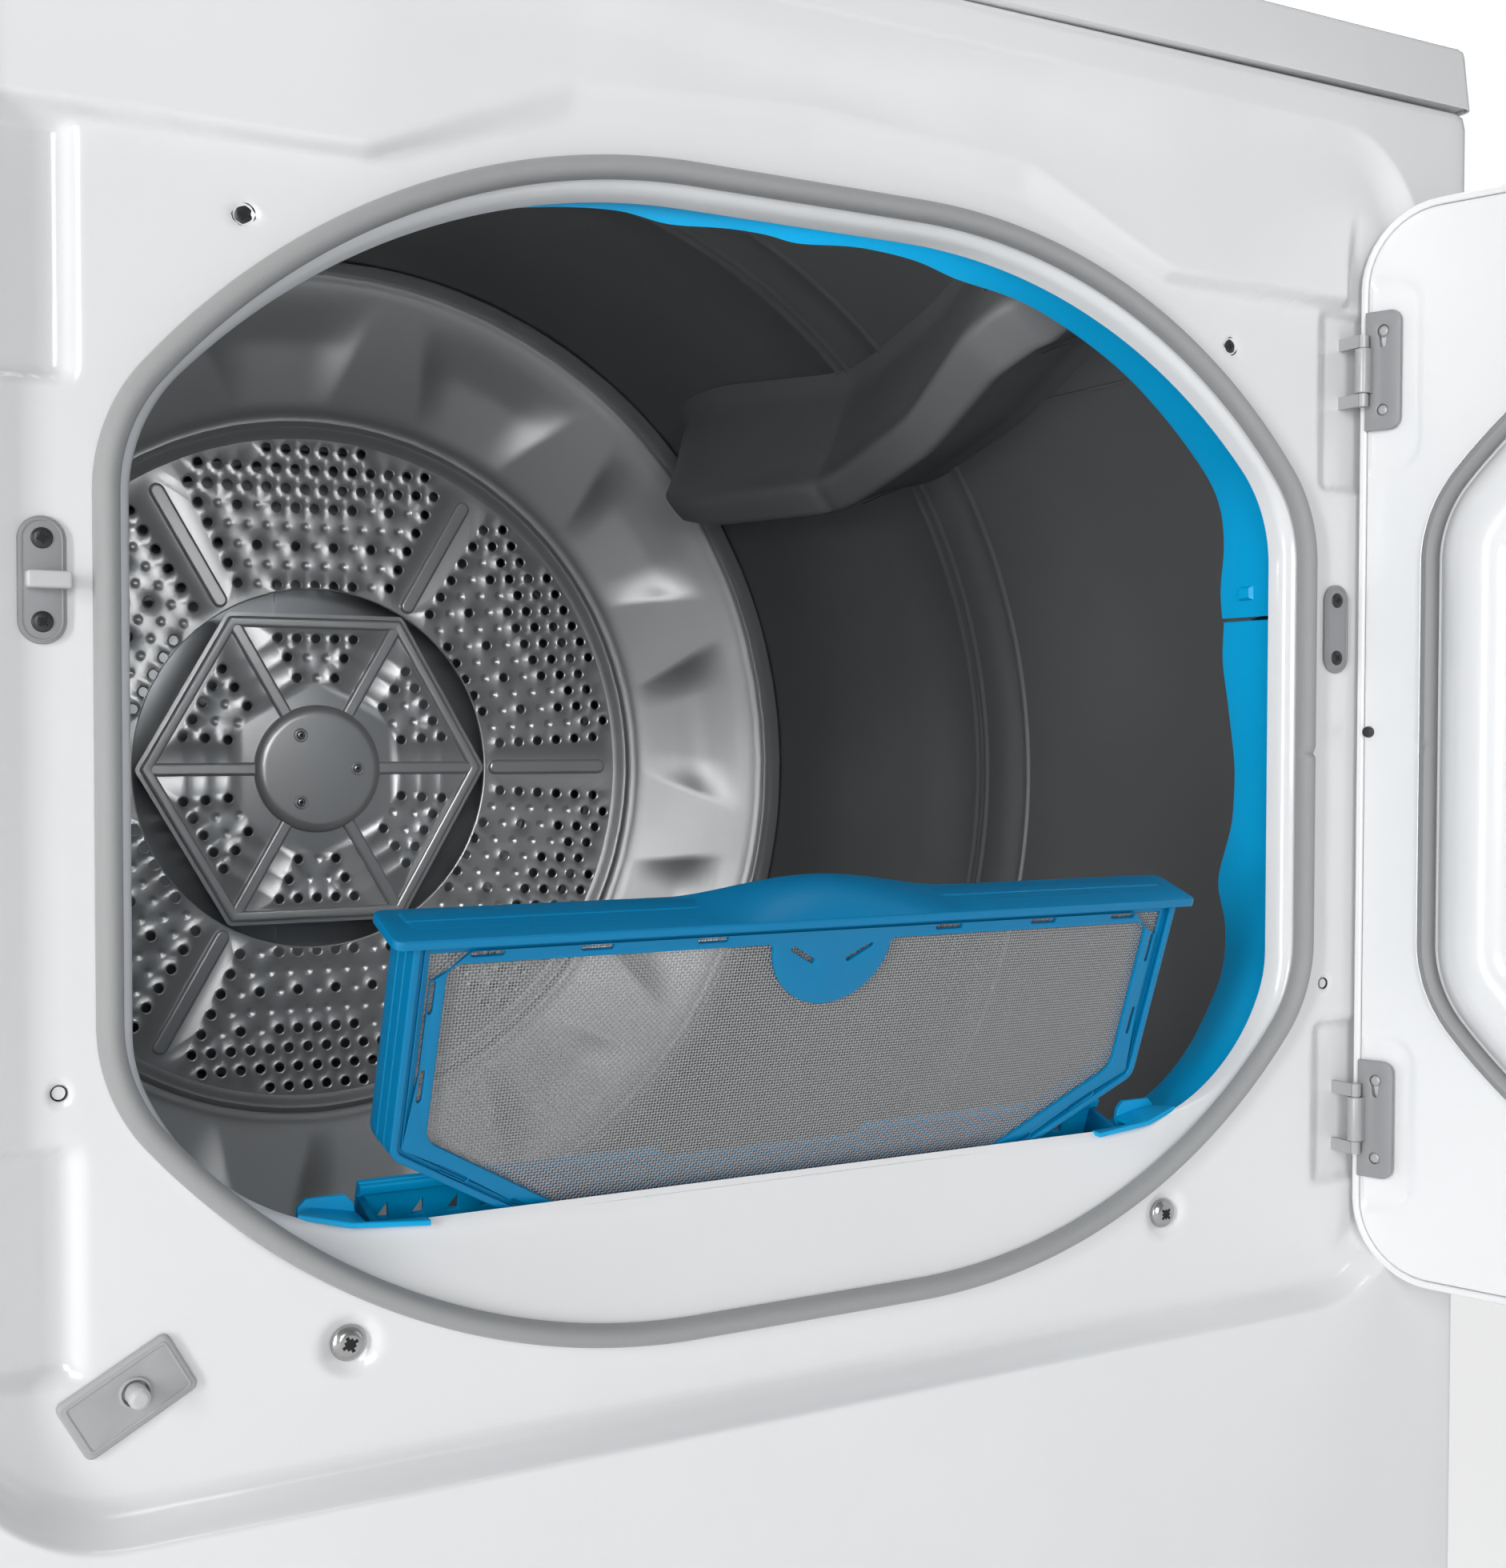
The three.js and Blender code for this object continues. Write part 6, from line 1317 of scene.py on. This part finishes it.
# how far the edges of some are rounded
softened = {"side_panel_left": 1.2, "side_panel_right": 1.2, "base_pan": 0.8, "rear_panel": 0.2, "filter_housing": 0.3,
            "hinge_bracket_upper": 0.4, "hinge_bracket_lower": 0.4, "door_catch": 0.5, "motor_body": 1.5,
            "motor_cradle": 0.8, "idler_bracket": 0.6, "idler_arm": 0.6, "blower_housing": 1.0, "foot_front_left": 0.8,
            "foot_front_right": 0.8, "foot_rear_left": 0.8, "foot_rear_right": 0.8, "cord_inlet_bush": 0.5}
for finish, names in kept.items():
    for name in names:
        # painted, its round parts shaded smooth and its edges rounded a little
        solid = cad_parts[name]
        solid.data.materials.clear()
        solid.data.materials.append(finishes[finish])
        solid.data.shade_smooth()
        solid.data.set_sharp_from_angle(angle=math.radians(32))
        if name in softened:
            rounding = solid.modifiers.new("rounding", "BEVEL")
            rounding.width, rounding.segments, rounding.limit_method = softened[name] / 1000, 2, "ANGLE"
            rounding.angle_limit = math.radians(40)
print("solids painted:", sum(len(names) for names in kept.values()))


stage = dict(floor=(236, 236, 237), size=9.0, lift=0.5, sky=0.19, left=64.0, right=3.0, top=36.0, near=32.0, rear=60.0,
             inside=0.7)


def stageFinish():
    made = Recipe("studioFloor", stage["floor"], Roughness=0.7)
    # the floor is lifted towards white where it is seen, and keeps the shadows
    rays = ("Camera", "Glossy", "Transmission")
    seen, shine, through = [made.node("LightPath", output=f"Is {ray} Ray") for ray in rays]
    glow = made.node("Emission", {}, {"Color": (1, 1, 1, 1)})
    lit = Value(made, made.shader.outputs[0])
    mix = made.node("MixShader", {}, {0: seen.most(shine).most(through) * stage["lift"], 1: lit, 2: glow})
    made.tree.links.new(mix.socket, made.tree.nodes["Material Output"].inputs["Surface"])
    return made.material


floorMesh = bpy.data.meshes.new("studioFloor")
corners = [(x * stage["size"], y * stage["size"], 0) for x, y in [(-1, -1), (1, -1), (1, 1), (-1, 1)]]
floorMesh.from_pydata(corners, [], [(0, 1, 2, 3)])
floorMesh.materials.append(stageFinish())
studioFloor = bpy.data.objects.new("studioFloor", floorMesh)
bpy.context.scene.collection.objects.link(studioFloor)



def studioWorld():
    # a dim sky lights the room, and where it is seen it is white
    world = bpy.data.worlds.new("studio")
    bpy.context.scene.world = world
    world.use_nodes = True
    world.node_tree.nodes.clear()
    sky = Nodes(world.node_tree)
    seen, through = [sky.node("LightPath", output=f"Is {ray} Ray") for ray in ("Camera", "Transmission")]
    dim = sky.node("Background", {}, {"Color": (0.95, 0.97, 1, 1), "Strength": stage["sky"]})
    bright = sky.node("Background", {}, {"Color": (1, 1, 1, 1), "Strength": 1.0})
    mix = sky.node("MixShader", {}, {0: seen.most(through), 1: dim, 2: bright})
    sky.node("OutputWorld", {}, {"Surface": mix})


studioWorld()


def lamp(name, place, aim, width, height, power):
    made = bpy.data.lights.new(name, "AREA")
    made.shape, made.size, made.size_y, made.energy = "RECTANGLE", width, height, power
    holder = bpy.data.objects.new(name, made)
    bpy.context.scene.collection.objects.link(holder)
    holder.location = place
    holder.rotation_euler = (Vector(aim) - Vector(place)).to_track_quat("-Z", "Y").to_euler()
    return holder


# a tall narrow softbox grazes the front from the left, and big soft ones light it from the front, above and behind
lamp("sideLamp", (-3.05, -1.5, 0.9), (0.0, -0.08, 0.6), 0.4, 2.2, stage["left"])
lamp("rightLamp", (2.5, -3.0, 1.6), (0.0, -0.1, 0.6), 2.0, 2.0, stage["right"])
lamp("topLamp", (0.3, 0.35, 3.4), (0.0, 0.3, 0.9), 2.0, 1.4, stage["top"])
lamp("nearLamp", (-1.2, -3.0, 1.2), (0.1, 0.2, 0.6), 0.9, 1.5, stage["near"])
lamp("rearLamp", (2.8, 3.0, 2.2), (0.0, 0.2, 0.5), 2.0, 2.0, stage["rear"])
# a small unseen lamp inside the opening, aimed at the drum's back
inside, drumMiddle = [toFrame(spot).tolist() for spot in ([-90.0, 40.0, 705.0], [0.0, 620.0, 760.0])]
innerLamp = lamp("insideLamp", inside, drumMiddle, 0.34, 0.05, stage["inside"])
innerLamp.visible_camera = False

view = dict(place=(-379.196, -629.5, 590.0), yaw=29.41, pitch=1.590, roll=0.102, lens=43.91)
camData = bpy.data.cameras.new("camera")
camData.sensor_width, camData.sensor_fit, camData.lens = 36.0, "AUTO", view["lens"]
camData.clip_start = 0.01
camera = bpy.data.objects.new("camera", camData)
bpy.context.scene.collection.objects.link(camera)
yaw, pitch = math.radians(view["yaw"]), math.radians(view["pitch"])
forward = Vector((math.sin(yaw) * math.cos(pitch), math.cos(yaw) * math.cos(pitch), -math.sin(pitch)))
right = Vector((math.cos(yaw), -math.sin(yaw), 0))
up = right.cross(forward)
facing = Matrix((right, up, -forward)).transposed().to_4x4()
spot = Vector(toFrame(view["place"]).tolist())
camera.matrix_world = Matrix.Translation(spot) @ facing @ Matrix.Rotation(math.radians(view["roll"]), 4, "Z")
bpy.context.scene.camera = camera
bpy.context.scene.view_settings.view_transform = "Standard"
print("stage, lamps and camera set")
